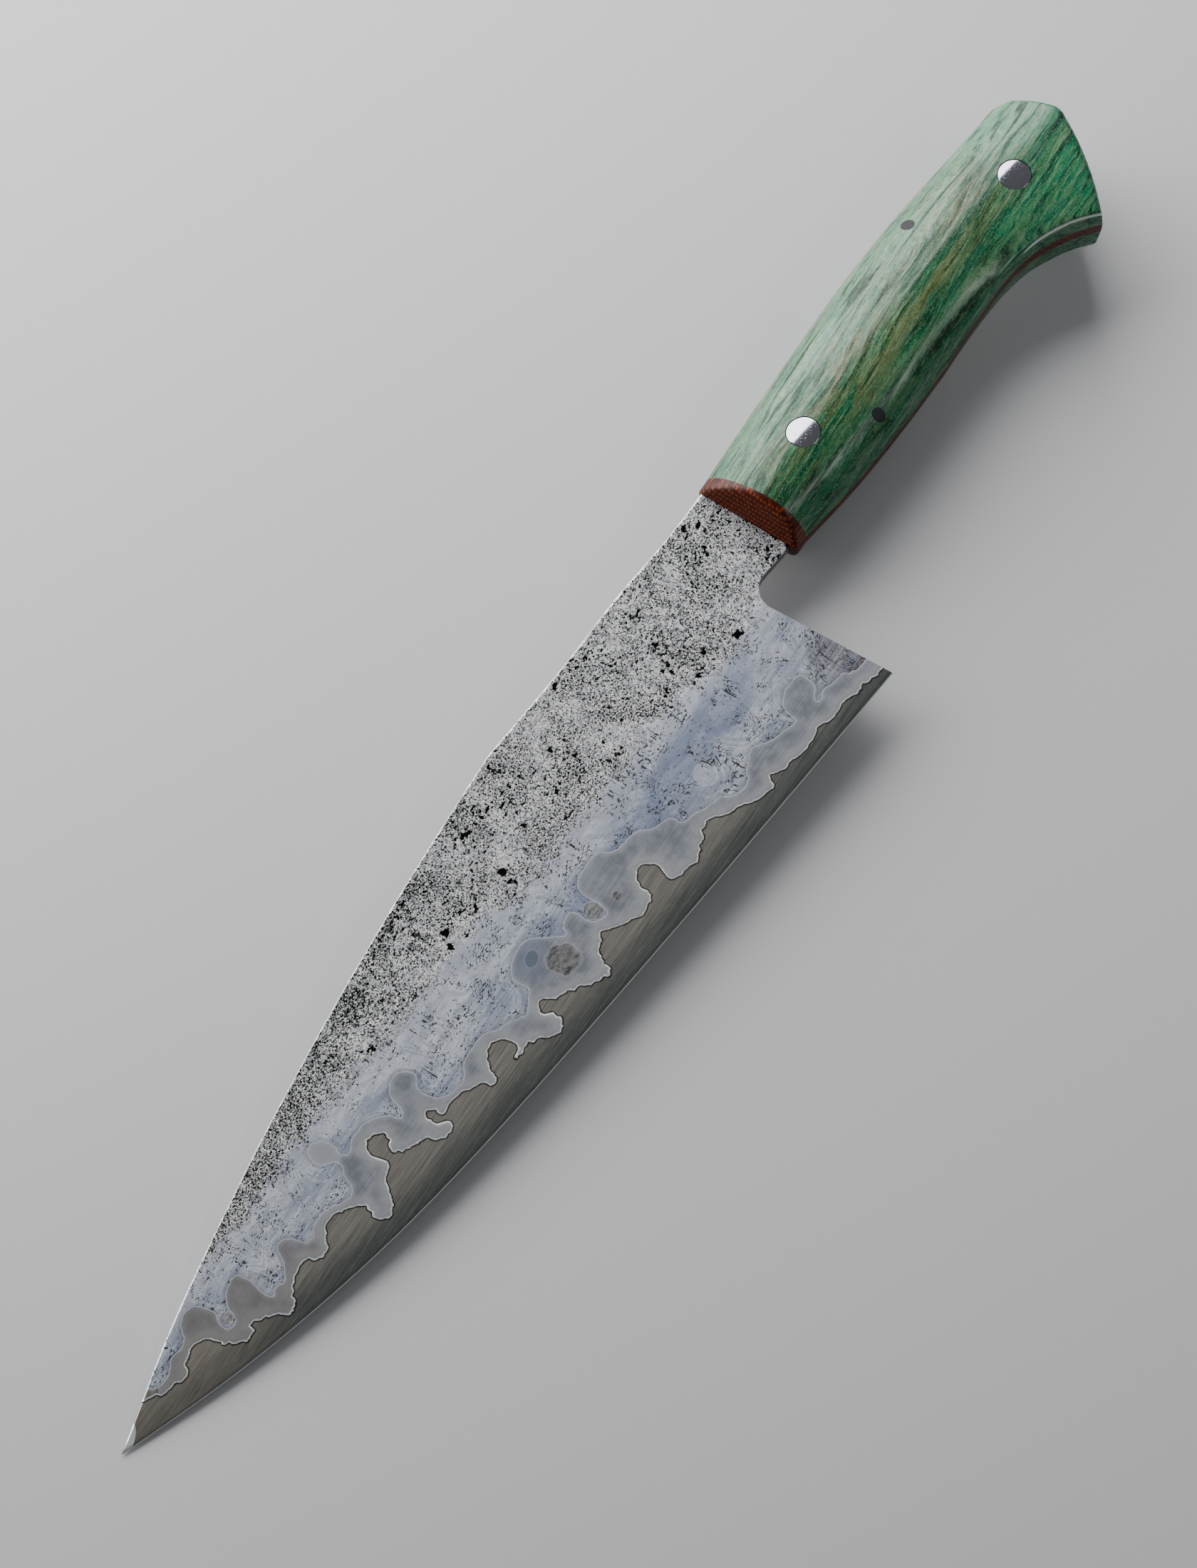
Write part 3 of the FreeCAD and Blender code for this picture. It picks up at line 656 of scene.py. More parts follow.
def make_tang():
    """The tapered hidden tang, drilled for the bolts."""
    ends = [TANG_FRONT[0], TANG_REAR[0]]
    xs = np.linspace(*ends, TANG_COLUMNS)
    half_width = np.interp(xs, ends, [TANG_FRONT[1] / 2, TANG_REAR[1] / 2])
    past = np.clip((xs - (TANG_REAR[0] - TANG_CORNER)) / TANG_CORNER, 0, 1)
    half_width = half_width - TANG_CORNER * (1 - np.sqrt(1 - past ** 2))
    y = tang_middle(xs) + half_width * np.linspace(-1, 1, TANG_ROWS)[:, None]
    points = np.column_stack([np.tile(xs, TANG_ROWS), y.ravel()])
    triangles = grid_triangles(TANG_COLUMNS, TANG_ROWS)
    for place_at in (FRONT_BOLT, REAR_BOLT):
        gap = circle_gap(points, place_at, SHANK_RADIUS + HOLE_CLEARANCE)
        points, triangles, _ = split(points, triangles, gap)
    half = np.interp(points[:, 0], ends, [TANG_FRONT[2], TANG_REAR[2]])
    return Piece(points).plate(triangles, half, triangles, -half)


def make_blade():
    """Core, inner layers and cladding as closed pieces that meet at the weld lines."""
    points, triangles = blade_map()
    heel_wall = [(PAST_TIP_X, BELOW_BLADE_Y), (HEEL_X + HEEL_LEAN, BELOW_BLADE_Y), (HEEL_X, HEEL_WALL_Y)]
    heel_path = np.vstack([heel_wall, arc(*CHOIL), NECK_LOW])
    points, triangles, _ = split(points, triangles, signed_distance(points, heel_path))
    points, covered, core_faces = split(points, triangles, signed_distance(points, core_path))
    points, clad_faces, band_faces = split(points, covered, signed_distance(points, cladding_path))
    covered = np.vstack([clad_faces, band_faces])
    covered_cap = triangulate(points, covered)
    clad_cap = triangulate(points, clad_faces)

    fields = blade_fields(points)
    half = half_thickness(*points.T)
    relief_left, pits_left = skin_height(points, fields, 100)
    relief_right, pits_right = skin_height(points, fields, 700)
    outer_left = np.maximum(half + relief_left, THINNEST)
    outer_right = np.maximum(half + relief_right, THINNEST)
    core_top = half * CORE_SHARE
    inner_top = half * INNER_SHARE
    size = len(points)

    def shared(edges, others):
        return np.isin(edge_keys(edges, size), edge_keys(others, size))

    core_rim, covered_rim, clad_rim, band_rim = map(rim, (core_faces, covered, clad_faces, band_faces))
    core_step = shared(core_rim, covered_rim)
    core = Piece(points)
    left = core.sheet(core_faces, outer_left)
    right = core.sheet(core_faces, -outer_right)
    inner_left = core.sheet(covered_cap, core_top)
    inner_right = core.sheet(covered_cap, -core_top)
    core.cover(left, core_faces)
    core.cover(right, core_faces, turned=True)
    core.cover(inner_left, covered_cap)
    core.cover(inner_right, covered_cap, turned=True)
    core.wall(left, right, core_rim[~core_step])
    core.wall(left, inner_left, core_rim[core_step])
    core.wall(inner_right, right, core_rim[core_step])
    core.wall(inner_left, inner_right, covered_rim[~shared(covered_rim, core_rim)])
    core.add(make_tang())
    core.show("blade_core", "core_steel", core_material(), {**fields, "pit": pits_left})

    for side, outer, pits in (("left", outer_left, pits_left), ("right", outer_right, pits_right)):
        settings = {"attributes": {**fields, "pit": pits}, "flip": side == "right"}
        cladding = Piece(points).plate(clad_faces, outer, clad_cap, inner_top)
        cladding.show("cladding_" + side, "wrought_iron", cladding_material(side), **settings)
        band = Piece(points)
        top = band.sheet(band_faces, outer)
        under = band.sheet(clad_cap, inner_top)
        bottom = band.sheet(covered_cap, core_top)
        band.cover(top, band_faces)
        band.cover(under, clad_cap)
        band.cover(bottom, covered_cap, turned=True)
        band_step = shared(band_rim, clad_rim)
        band.wall(top, under, band_rim[band_step])
        band.wall(top, bottom, band_rim[~band_step])
        band.wall(under, bottom, clad_rim[~shared(clad_rim, band_rim)])
        band.show("inner_layer_" + side, "inner_steel", band_material(side), **settings)


# ------------------------------------------------------------------ the handle's form

HANDLE_X = [-4, 3, 14, 30, 50, 66, 76, 84, 92, 100, 112, 130]
SPINE_SIDE_Y = [12.5, 12.6, 12.9, 13.2, 13.4, 13.1, 12.6, 12.0, 11.1, 10.1, 8.8, 6.3]
BELLY_SIDE_Y = [-13.2, -13.9, -15.5, -17.1, -18.0, -18.6, -20.0, -22.8, -28.0, -35.5, -47.0, -62.0]
CREST_Y = [-3.2, -3.2, -3.4, -3.6, -3.8, -4.0, -4.3, -4.8, -5.3, -5.8, -6.2, -6.5]
CREST_HALF = [10.6, 10.6, 10.6, 10.5, 10.4, 10.3, 10.3, 10.2, 10.2, 10.1, 10.0, 9.9]
SPINE_ROUND = [1.7, 1.7, 1.75, 1.8, 1.8, 1.8, 1.8, 1.8, 1.8, 1.8, 1.8, 1.8]
BELLY_ROUND = [2.0, 2.0, 2.1, 2.2, 2.2, 2.1, 2.0, 2.0, 2.0, 2.0, 2.0, 2.0]
BELLY_CUT = [(44, -19.4), (54, -18.2), (66, -17.7), (78, -17.75), (86, -18.4), (92, -19.9),
             (98, -22.6), (103, -25.7), (107, -29.0), (114, -35.2)]
BUTT_ARCS = [[(116.8, 8.6), (120.7, 6.2), (122.7, 2.2)], [(122.7, 2.2), (123.9, -1.4), (124.8, -5.0)],
             [(124.8, -5.0), (124.9, -7.4), (123.9, -9.5)], [(123.9, -9.5), (116.5, -19.8), (107.0, -29.1)]]
BUTT_LEAN = (-1.9, 0.9)
BUTT_LEAN_Z = 10.6
FRAME_HALF = 1.6
FRONT_BOLT = (20.9, -1.3)
REAR_BOLT = (102.7, -7.1)
SPINE_PIN = (79.8, 7.3)
BELLY_PIN = (34.6, -12.8)
HEAD_RADIUS = 4.0
SHANK_RADIUS = 3.175
PIN_RADIUS = 1.6
BOLSTER_PROFILE = [(-1.0, 1.9), (0.25, 6.0), (2.2, 11.0)]
TALLEST = 10.59
BUTT_EDGE = 1.1
BELLY_CUT_EDGE = 0.8
EDGE_REACH = 12.0
HANDLE_COLUMNS = 360
HANDLE_ROWS = 150
HANDLE_END_X = 126.0
CUT_EDGE_FROM_X = 46
# Where the painted highlight on the belly cut's rim fades in, along the knife
RIM_HIGHLIGHT_FADE = (74, 92)
LEAN_STEPS = 6

spine_side = natural_spline(HANDLE_X, SPINE_SIDE_Y)
belly_side = natural_spline(HANDLE_X, BELLY_SIDE_Y)
crest_line = natural_spline(HANDLE_X, CREST_Y)
crest_spline = natural_spline(HANDLE_X, CREST_HALF)
spine_round = natural_spline(HANDLE_X, SPINE_ROUND)
belly_round = natural_spline(HANDLE_X, BELLY_ROUND)
belly_cut = natural_spline(*zip(*BELLY_CUT))


def crest_half(x):
    """Half thickness of the handle at its crest, kept just inside the solids' own."""
    return np.minimum(crest_spline(x), TALLEST)


def form_sides(x, spineward):
    """The form's reach from its crest and its roundness, on the spine's side or the belly's."""
    crest = crest_line(x)
    reach = np.where(spineward, spine_side(x) - crest, crest - belly_side(x))
    return reach, np.where(spineward, spine_round(x), belly_round(x))


def form_height(x, y):
    """Height of the rounded handle form over the middle plane."""
    crest = crest_line(x)
    reach, roundness = form_sides(x, y > crest)
    share = np.clip(np.abs(y - crest) / reach, 0, 1)
    return crest_half(x) * np.clip(1 - share ** roundness, 0, 1) ** (1 / roundness)


def rounding(distance, radius):
    """How far a rounded edge drops at a distance from it."""
    inward = np.clip(1 - distance / radius, 0, 1)
    return radius * (1 - np.sqrt(np.clip(1 - inward ** 2, 0, 1)))


def swollen(wave, roundness):
    """A sine or cosine, changed so that a circle becomes the form's rounded section."""
    return np.sign(wave) * np.abs(wave) ** (2 / roundness)


def handle_map():
    """A grid over one scale, from the frame's belly side over the crest to its spine side."""
    xs = np.linspace(BOLSTER_BACK_X, HANDLE_END_X, HANDLE_COLUMNS)
    level = FRAME_HALF / crest_half(xs)
    start = np.arcsin(np.clip(level ** (spine_round(xs) / 2), 0, 1))
    end = math.pi - np.arcsin(np.clip(level ** (belly_round(xs) / 2), 0, 1))
    angle = end + (start - end) * np.linspace(0, 1, HANDLE_ROWS)[:, None]
    reach, roundness = form_sides(xs, angle <= math.pi / 2)
    y = crest_line(xs) + reach * swollen(np.cos(angle), roundness)
    points = np.column_stack([np.tile(xs, HANDLE_ROWS), y.ravel()])
    return points, grid_triangles(HANDLE_COLUMNS, HANDLE_ROWS)


def circle_gap(points, place_at, radius):
    """Distance outside a circle."""
    return np.hypot(points[:, 0] - place_at[0], points[:, 1] - place_at[1]) - radius


def make_scales():
    """Both wooden scales: rounded form, square belly cut and leaning butt with rounded edges, drilled."""
    butt = np.vstack([arc(*corners) for corners in BUTT_ARCS])
    # closed round everything in front of the butt, so that inside is the side with the line below it
    butt_fence = np.vstack([[(-60, 90), (112, 90)], butt, [(99.0, -38.5), (99.0, -90), (-60, -90)]])[::-1]
    points, triangles = handle_map()
    for place_at, radius in ((FRONT_BOLT, HEAD_RADIUS), (REAR_BOLT, HEAD_RADIUS), (SPINE_PIN, PIN_RADIUS),
                             (BELLY_PIN, PIN_RADIUS)):
        points, triangles, _ = split(points, triangles, circle_gap(points, place_at, radius))
    x, y = points.T
    above_cut = np.where(x < BELLY_CUT[0][0], 50.0, y - belly_cut(x))
    points, triangles, _ = split(points, triangles, above_cut)
    before_butt = signed_distance(points, closed_path(butt_fence), EDGE_REACH)
    points, triangles, _ = split(points, triangles, before_butt)

    x, y = points.T
    butt_gap = line_distance(points, butt, EDGE_REACH)
    cut_gap = line_distance(points, smooth_path(BELLY_CUT, 0.4), EDGE_REACH)
    cut_gap = np.where(x < CUT_EDGE_FROM_X, EDGE_REACH, cut_gap)
    hold = 1 - smoothstep(butt_gap, 0, EDGE_REACH)
    height = form_height(x, y)
    for _ in range(LEAN_STEPS):
        shift = hold * (height / BUTT_LEAN_Z) ** 2
        height = form_height(x + BUTT_LEAN[0] * shift, y + BUTT_LEAN[1] * shift)
    edge_fade = smoothstep(height, 1.6, 4.0)
    edge_rounding_and_rim_highlight = np.maximum(rounding(butt_gap, BUTT_EDGE), rounding(cut_gap, BELLY_CUT_EDGE))
    top = height - edge_fade * edge_rounding_and_rim_highlight
    # cut_gap is raised in front of the flare so that the painted rim highlight fades in there; top_z keeps
    # it on the top rim.
    attributes = {"cut_gap": cut_gap + 2 * (1 - smoothstep(x, *RIM_HIGHLIGHT_FADE)), "top_z": top}
    cap = triangulate(points, triangles)

    def bend(coords, ids):
        """Leans the butt: the higher a vertex is, the further it moves."""
        shift = hold[ids] * (coords[:, 2] / BUTT_LEAN_Z) ** 2
        coords[:, 0] += BUTT_LEAN[0] * shift
        coords[:, 1] += BUTT_LEAN[1] * shift
        return coords

    for side, seed in (("left", 3.0), ("right", 40.0)):
        scale = Piece(points).plate(triangles, top, cap, FRAME_HALF)
        scale.show("scale_" + side, "dyed_maple", wood_material("dyed_maple_" + side, seed), attributes,
                   flip=side == "right", bend=bend)


BOLSTER_TURNS = 240
BOLSTER_RINGS = 46
BOLSTER_EDGE = 1.1
BOLSTER_RIM_X = 2.9
PROFILE_STEPS = 60


def ring_turns(count):
    """Angles all round a circle."""
    return np.linspace(0, 2 * math.pi, count + 1)[:-1]


def make_bolster():
    """The spacer: its front face curves back from the blade, with a rounded rim and a slot for the tang."""
    turns = ring_turns(BOLSTER_TURNS)
    crest, half = float(crest_line(BOLSTER_BACK_X)), float(crest_half(BOLSTER_BACK_X))
    reach, roundness = form_sides(BOLSTER_BACK_X, np.cos(turns) > 0)
    outline = np.column_stack([crest + reach * swollen(np.cos(turns), roundness),
                               half * swollen(np.sin(turns), roundness)])
    rings = 1 - (1 - np.linspace(0.05, 1, BOLSTER_RINGS)) ** 1.6
    middle = np.array([crest, 0.0])
    points = (middle + (outline - middle) * rings[:, None, None]).reshape(-1, 2)
    triangles = grid_triangles(BOLSTER_TURNS, BOLSTER_RINGS, closed=True)
    slot_x, slot_width, slot_half = TANG_FRONT
    points, outside_z, inside_z = split(points, triangles, np.abs(points[:, 1]) - slot_half)
    slot_y = tang_middle((slot_x + BOLSTER_BACK_X) / 2)
    points, outside_y, _ = split(points, inside_z, np.abs(points[:, 0] - slot_y) - slot_width / 2)
    triangles = np.vstack([outside_z, outside_y])
    face_z, face_x = np.array(arc(*[(z, x) for x, z in BOLSTER_PROFILE], count=PROFILE_STEPS)).T
    nose_x, nose_z = BOLSTER_PROFILE[0]
    level = np.abs(points[:, 1])
    front = np.where(level <= nose_z, nose_x, np.interp(level, face_z, face_x))
    gap = line_distance(points, closed_path(outline), 3.0)
    front = front + np.minimum(rounding(gap, BOLSTER_EDGE), BOLSTER_RIM_X - front)
    bolster = Piece(points).plate(triangles, BOLSTER_BACK_X, triangles, front)
    bolster.show("bolster", "micarta", micarta_material("micarta_bolster"), axes=(2, 0, 1))


BOLT_TURNS = 96
HEAD_GAP = 0.09
HEAD_DOME = 0.09
HEAD_EDGE = 0.22
HEAD_FLOOR_Z = 4.0
SHANK_FLOOR_Z = 0.05


def make_bolt(node, place_at, flip, material):
    """A flush domed head on a plain shank, on the left side or flipped to the right."""
    turns = ring_turns(BOLT_TURNS)
    radius = HEAD_RADIUS - HEAD_GAP
    rings = np.concatenate([[0.02], np.linspace(0.1, 0.9, 12), [0.94, 0.965, 0.985, 1.0]])
    ring_points = np.column_stack([np.cos(turns), np.sin(turns)]) * radius
    points = (np.array(place_at) + ring_points * rings[:, None, None]).reshape(-1, 2)
    triangles = grid_triangles(BOLT_TURNS, len(rings), closed=True)
    from_middle = np.hypot(*(points - place_at).T) / radius
    dome = HEAD_DOME * from_middle ** 2
    top = form_height(*points.T) - dome - rounding((1 - from_middle) * radius, HEAD_EDGE)
    head = Piece(points).plate(triangles, top, triangles, HEAD_FLOOR_Z)
    step = np.arange(1, BOLT_TURNS - 1)
    fan = np.column_stack([step * 0, step, step + 1])
    shank_points = np.array(place_at) + ring_points / radius * SHANK_RADIUS
    head.add(Piece(shank_points).plate(fan, HEAD_FLOOR_Z, fan, SHANK_FLOOR_Z))
    head.show(node, "bolt_steel", material, flip=flip)


def make_bolts():
    """A bolt from the left and a nut from the right, at the front and at the rear."""
    steel = bolt_material()
    for half, flip in (("bolt", False), ("nut", True)):
        make_bolt("handle_%s_front" % half, FRONT_BOLT, flip, steel)
        make_bolt("handle_%s_rear" % half, REAR_BOLT, flip, steel)


# ------------------------------------------------------------------ materials


def rgb(red, green, blue):
    """An sRGB colour given from 0 to 255, as the linear colour that shaders take."""
    def linear(value):
        value /= 255
        return value / 12.92 if value <= 0.04045 else ((value + 0.055) / 1.055) ** 2.4
    return (linear(red), linear(green), linear(blue), 1.0)


class Graph:
    """Builds one material's node tree, and is called g below. Positions are in the knife's millimetres."""

    def __init__(self, name):
        self.material = bpy.data.materials.new(name)
        self.material.use_nodes = True
        self.tree = self.material.node_tree
        self.shader = self.tree.nodes["Principled BSDF"]
        where = self.tree.nodes.new("ShaderNodeTexCoord").outputs["Object"]
        scaled = self.node("VectorMath", [where, (1 / MM,) * 3, tuple(-ORIGIN)], operation="MULTIPLY_ADD")
        self.position = scaled.outputs["Vector"]

    def node(self, kind, inputs, **settings):
        """Adds a node, sets it up and feeds its inputs: a list by number or a dict by name."""
        made = self.tree.nodes.new("ShaderNode" + kind)
        for key, value in settings.items():
            setattr(made, key, value)
        for key, value in (inputs.items() if isinstance(inputs, dict) else enumerate(inputs)):
            self.feed(made.inputs[key], value)
        return made

    def feed(self, socket, value):
        """Links a socket to another one, or sets its value."""
        if isinstance(value, bpy.types.NodeSocket):
            self.tree.links.new(value, socket)
        else:
            socket.default_value = value

    def math(self, operation, *values):
        return self.node("Math", values, operation=operation).outputs["Value"]

    def times(self, one, two):
        return self.math("MULTIPLY", one, two)

    def plus(self, one, two):
        return self.math("ADD", one, two)

    def most(self, one, two):
        return self.math("MAXIMUM", one, two)

    def scaled(self, value, factor, offset):
        """A value times a factor, plus an offset."""
        return self.math("MULTIPLY_ADD", value, factor, offset)

    def ramp(self, value, low, high, to_low=0.0, to_high=1.0):
        """A smooth change between two values."""
        names = {"Value": value, "From Min": low, "From Max": high, "To Min": to_low, "To Max": to_high}
        return self.node("MapRange", names, interpolation_type="SMOOTHSTEP").outputs["Result"]

    def stretch(self, along, across):
        """The position, scaled along the knife and across it."""
        scales = (along, across, across)
        return self.node("VectorMath", [self.position, scales], operation="MULTIPLY").outputs["Vector"]

    def noise(self, vector, scale=1.0, detail=2.0, roughness=0.5, distortion=0.0):
        names = {"Vector": vector, "Scale": scale, "Detail": detail, "Roughness": roughness,
                 "Distortion": distortion}
        return self.node("TexNoise", names).outputs["Fac"]

    def attribute(self, name):
        return self.node("Attribute", [], attribute_name=name).outputs["Fac"]

    def split(self):
        return self.node("SeparateXYZ", [self.position]).outputs

    def join(self, x, y, z):
        return self.node("CombineXYZ", [x, y, z]).outputs["Vector"]

    def mix(self, share, one, two):
        """Colour one where share is 0 and colour two where it is 1."""
        made = self.node("Mix", [], data_type="RGBA")
        for number, value in ((0, share), (6, one), (7, two)):
            self.feed(made.inputs[number], value)
        return made.outputs[2]

    def layers(self, colour, coats):
        """A colour under several coats in turn: (share that covers it, sRGB colour from 0 to 255)."""
        for share, coat in coats:
            colour = self.mix(share, colour, rgb(*coat))
        return colour

    def colours(self, value, stops):
        """A colour for each value, from (value, colour) stops."""
        made = self.node("ValToRGB", [value])
        elements = made.color_ramp.elements
        while len(elements) < len(stops):
            elements.new(0.5)
        for element, (spot, colour) in zip(elements, stops):
            element.position = spot
            element.color = colour
        return made.outputs["Color"]

    def bump(self, height, distance, strength=1.0, normal=None):
        names = {"Height": height, "Distance": distance * MM, "Strength": strength}
        if normal is not None:
            names["Normal"] = normal
        return self.node("Bump", names).outputs["Normal"]

    def finish(self, **inputs):
        """Feeds the surface shader. Underscores in names stand for spaces."""
        for name, value in inputs.items():
            self.feed(self.shader.inputs[name.replace("_", " ").title().replace("Ior", "IOR")], value)
        return self.material


def brushed(g, along, across, detail=3.0):
    """Long fine lines along the blade, 0 to 1."""
    return g.noise(g.stretch(along, across), 1.0, detail, 0.6)


def island(g, colour):
    """A colour with the weathered islands of slag drawn in: grey, scored with black, with a pale rim."""
    patch = g.attribute("patch")
    cloudy = g.ramp(g.noise(g.position, 0.9, 4, 0.65), 0.35, 0.65)
    ground = g.mix(cloudy, rgb(106, 104, 101), rgb(150, 148, 144))
    scores = g.ramp(g.noise(g.stretch(0.4, 1.5), 1.0, 3, 0.6, 0.8), 0.56, 0.60)
    ground = g.mix(g.times(scores, 0.85), ground, rgb(20, 20, 19))
    rim = g.times(g.ramp(patch, -0.14, -0.04), g.ramp(patch, 0.06, 0.0))
    colour = g.mix(g.ramp(patch, -0.04, 0.08, 0, 0.75), colour, ground)
    return g.mix(g.times(rim, 0.22), colour, rgb(206, 208, 212))


def cladding_material(side):
    """Forged skin with pits above, polished wrought iron with flowing slag lines below."""
    g = Graph("wrought_iron_" + side)
    p = g.position
    x, y, _ = g.split()
    ragged = g.scaled(g.noise(p, 0.55, 5, 0.7), 6.0, -3.0)
    depth_in = g.plus(g.attribute("forged"), ragged)
    forged = g.ramp(depth_in, -0.8, 1.0)

    crowd = g.noise(p, 0.13, 3, 0.55)
    towards_spine = g.times(g.ramp(g.attribute("spine_d"), 13.0, 1.0, -0.012, 0.036), g.ramp(x, -60, -130))
    patches = g.plus(g.scaled(crowd, 0.21, -0.094), towards_spine)
    sparse = g.ramp(depth_in, -4.0, 1.5, -0.20, 0.0)
    grain = g.plus(g.noise(p, 2.3, 2, 0.6, 0.5), g.plus(patches, sparse))
    fine_specks = g.ramp(g.plus(g.noise(p, 4.2, 1, 0.5, 0.4), g.plus(patches, sparse)), 0.565, 0.61)
    specks = g.most(g.ramp(grain, 0.56, 0.585), g.times(fine_specks, 0.85))
    worm_noise = g.plus(g.noise(p, 1.5, 2, 0.6, 1.0), -0.5)
    worm_places = g.plus(g.noise(p, 0.9, 2), g.plus(patches, sparse))
    worms = g.times(g.ramp(g.math("ABSOLUTE", worm_noise), 0.044, 0.020), g.ramp(worm_places, 0.46, 0.52))
    pits = g.most(g.most(specks, worms), g.ramp(g.attribute("pit"), 0.42, 0.75))
    smudge = g.noise(p, 0.5, 4, 0.65)
    skin = g.mix(g.ramp(smudge, 0.36, 0.62), rgb(206, 208, 211), rgb(250, 250, 251))
    skin = g.mix(g.ramp(grain, 0.46, 0.55, 0, 0.5), skin, rgb(112, 113, 116))

    clouds = g.noise(g.stretch(0.07, 0.2), 1.0, 5, 0.65, 0.6)
    lines = brushed(g, 0.05, 6.0)
    polished = g.mix(g.ramp(clouds, 0.34, 0.66), rgb(139, 147, 165), rgb(196, 199, 206))
    polished = g.layers(polished, [
        (g.ramp(lines, 0.5, 0.72, 0, 0.6), (204, 208, 214)),
        (g.ramp(lines, 0.48, 0.28, 0, 0.5), (96, 102, 116))])
    flow = g.attribute("flow")
    contour = g.join(g.times(x, 1.2), g.times(flow, 3.6), 0.0)
    slag_noise = g.noise(contour, 1.0, 4, 0.65)
    slag_crowd = g.ramp(g.noise(p, 0.20, 3, 0.6), 0.38, 0.60, 0.0, 0.10)
    slag = g.ramp(g.plus(slag_noise, slag_crowd), 0.635, 0.675)
    dots = g.ramp(g.plus(g.noise(g.stretch(1.3, 2.6), 1.0, 2, 0.6), slag_crowd), 0.665, 0.70)
    slag = g.most(slag, dots)
    banding = g.noise(g.join(g.times(x, 0.09), g.times(flow, 1.1), 3.0), 1.0, 4, 0.65)
    polished = g.mix(g.ramp(banding, 0.44, 0.60, 0, 0.4), polished, rgb(108, 116, 132))
    # Painted highlight: the polished bevel is lightened towards the forged skin, a painted gradient of
    # light.
    near_skin_highlight = g.ramp(depth_in, -9.0, 0.0, 0, 0.45)
    polished = g.mix(near_skin_highlight, polished, rgb(196, 199, 205))
    near_line = g.ramp(g.attribute("cladding_d"), 1.2, 0.0)
    polished = g.mix(g.times(near_line, 0.45), polished, rgb(100, 103, 110))
    stripe = g.ramp(g.math("ABSOLUTE", g.plus(y, 20.0)), 6.5, 1.5)
    stripe = g.times(stripe, g.times(g.ramp(x, -22, -38), g.ramp(x, -125, -105)))
    polished = g.mix(g.times(stripe, 0.5), polished, rgb(106, 119, 148))
    disk = g.attribute("disk")
    polished = g.mix(g.ramp(disk, 0.0, 0.2, 0, 0.35), polished, rgb(204, 206, 210))
    ring = g.times(g.ramp(g.math("PINGPONG", disk, 0.2), 0.06, 0.0), g.ramp(disk, -0.95, -0.6, 0, 0.16))
    polished = g.mix(ring, polished, rgb(84, 88, 98))
    heel_stain = g.times(g.ramp(x, -30, -16), g.ramp(y, -24, -34))
    stain = g.times(heel_stain, g.ramp(brushed(g, 0.1, 1.6), 0.36, 0.6, 0.25, 1.0))
    polished = g.layers(polished, [
        (g.times(stain, 0.75), (92, 84, 76)),
        (slag, (44, 45, 50))])

    colour = island(g, g.mix(forged, polished, skin))
    colour = g.mix(pits, colour, rgb(10, 10, 10))
    # Painted highlight: a bright line along the spine's chamfer, where it catches the key light.
    spine_highlight = g.ramp(g.attribute("spine_d"), 0.32, 0.10, 0, 0.6)
    colour = g.mix(spine_highlight, colour, rgb(225, 226, 228))
    dark = g.most(pits, g.times(slag, g.math("SUBTRACT", 1.0, forged)))
    rough_skin = g.scaled(smudge, 0.2, 0.40)
    roughness = g.node("Mix", [forged, g.scaled(lines, 0.12, 0.34), rough_skin]).outputs[0]
    height = g.math("SUBTRACT", g.times(smudge, g.times(forged, 0.3)), dark)
    fine = g.bump(lines, 0.006, 0.5)
    normal = g.bump(height, 0.025, 0.4, fine)
    bare = g.math("SUBTRACT", 1.0, dark)
    metallic = g.times(bare, g.scaled(forged, -0.5, 0.92))
    return g.finish(base_color=colour, roughness=g.scaled(dark, 0.3, roughness),
                    metallic=metallic, specular_ior_level=g.times(bare, 0.5), normal=normal)


def band_material(side):
    """Warm grey brushed band, bright along both weld lines."""
    g = Graph("inner_steel_" + side)
    lines = brushed(g, 0.05, 6.0)
    clouds = g.noise(g.position, 0.25, 4, 0.65)
    near_core = g.attribute("core_d")
    near_cladding = g.times(g.attribute("cladding_d"), -1.0)
    wobble = g.scaled(g.noise(g.position, 1.6, 3), 0.36, -0.18)
    core_rim = g.plus(near_core, wobble)
    cladding_rim = g.plus(near_cladding, wobble)
    base = g.mix(g.ramp(clouds, 0.3, 0.7), rgb(134, 138, 147), rgb(172, 176, 184))
    base = g.layers(base, [
        (g.ramp(lines, 0.42, 0.68, 0, 0.6), (102, 105, 110)),
        (g.ramp(core_rim, 3.6, 0.4, 0, 0.6), (192, 192, 193)),
        (g.ramp(cladding_rim, 1.4, 0.3, 0, 0.45), (180, 184, 194))])
    x, y, _ = g.split()
    base = g.mix(g.ramp(x, -182, -202, 0, 0.5), base, rgb(134, 126, 116))
    bud_x, bud_y = (g.math("POWER", g.plus(at, -middle), 2.0) for at, middle in zip((x, y), PALE_BUD))
    bud = g.math("SQRT", g.plus(bud_x, bud_y))
    base = g.mix(g.ramp(bud, 4.4, 3.2, 0, 0.7), base, rgb(186, 187, 193))
    blue = g.attribute("blue")
    base = g.layers(base, [
        (g.ramp(blue, 0.0, 0.4, 0, 0.45), (118, 130, 154)),
        (g.times(g.ramp(blue, 0.60, 0.66), 0.3), (170, 180, 196)),
        (g.ramp(blue, 0.67, 0.72, 0, 0.8), (104, 116, 130))])
    base = island(g, base)
    base = g.layers(base, [
        (g.ramp(cladding_rim, 0.34, 0.16, 0, 0.7), (214, 218, 226)),
        (g.ramp(core_rim, 0.42, 0.22), (234, 236, 238))])
    return g.finish(base_color=base, metallic=0.9, roughness=g.scaled(lines, 0.15, 0.32),
                    normal=g.bump(lines, 0.008, 0.5))


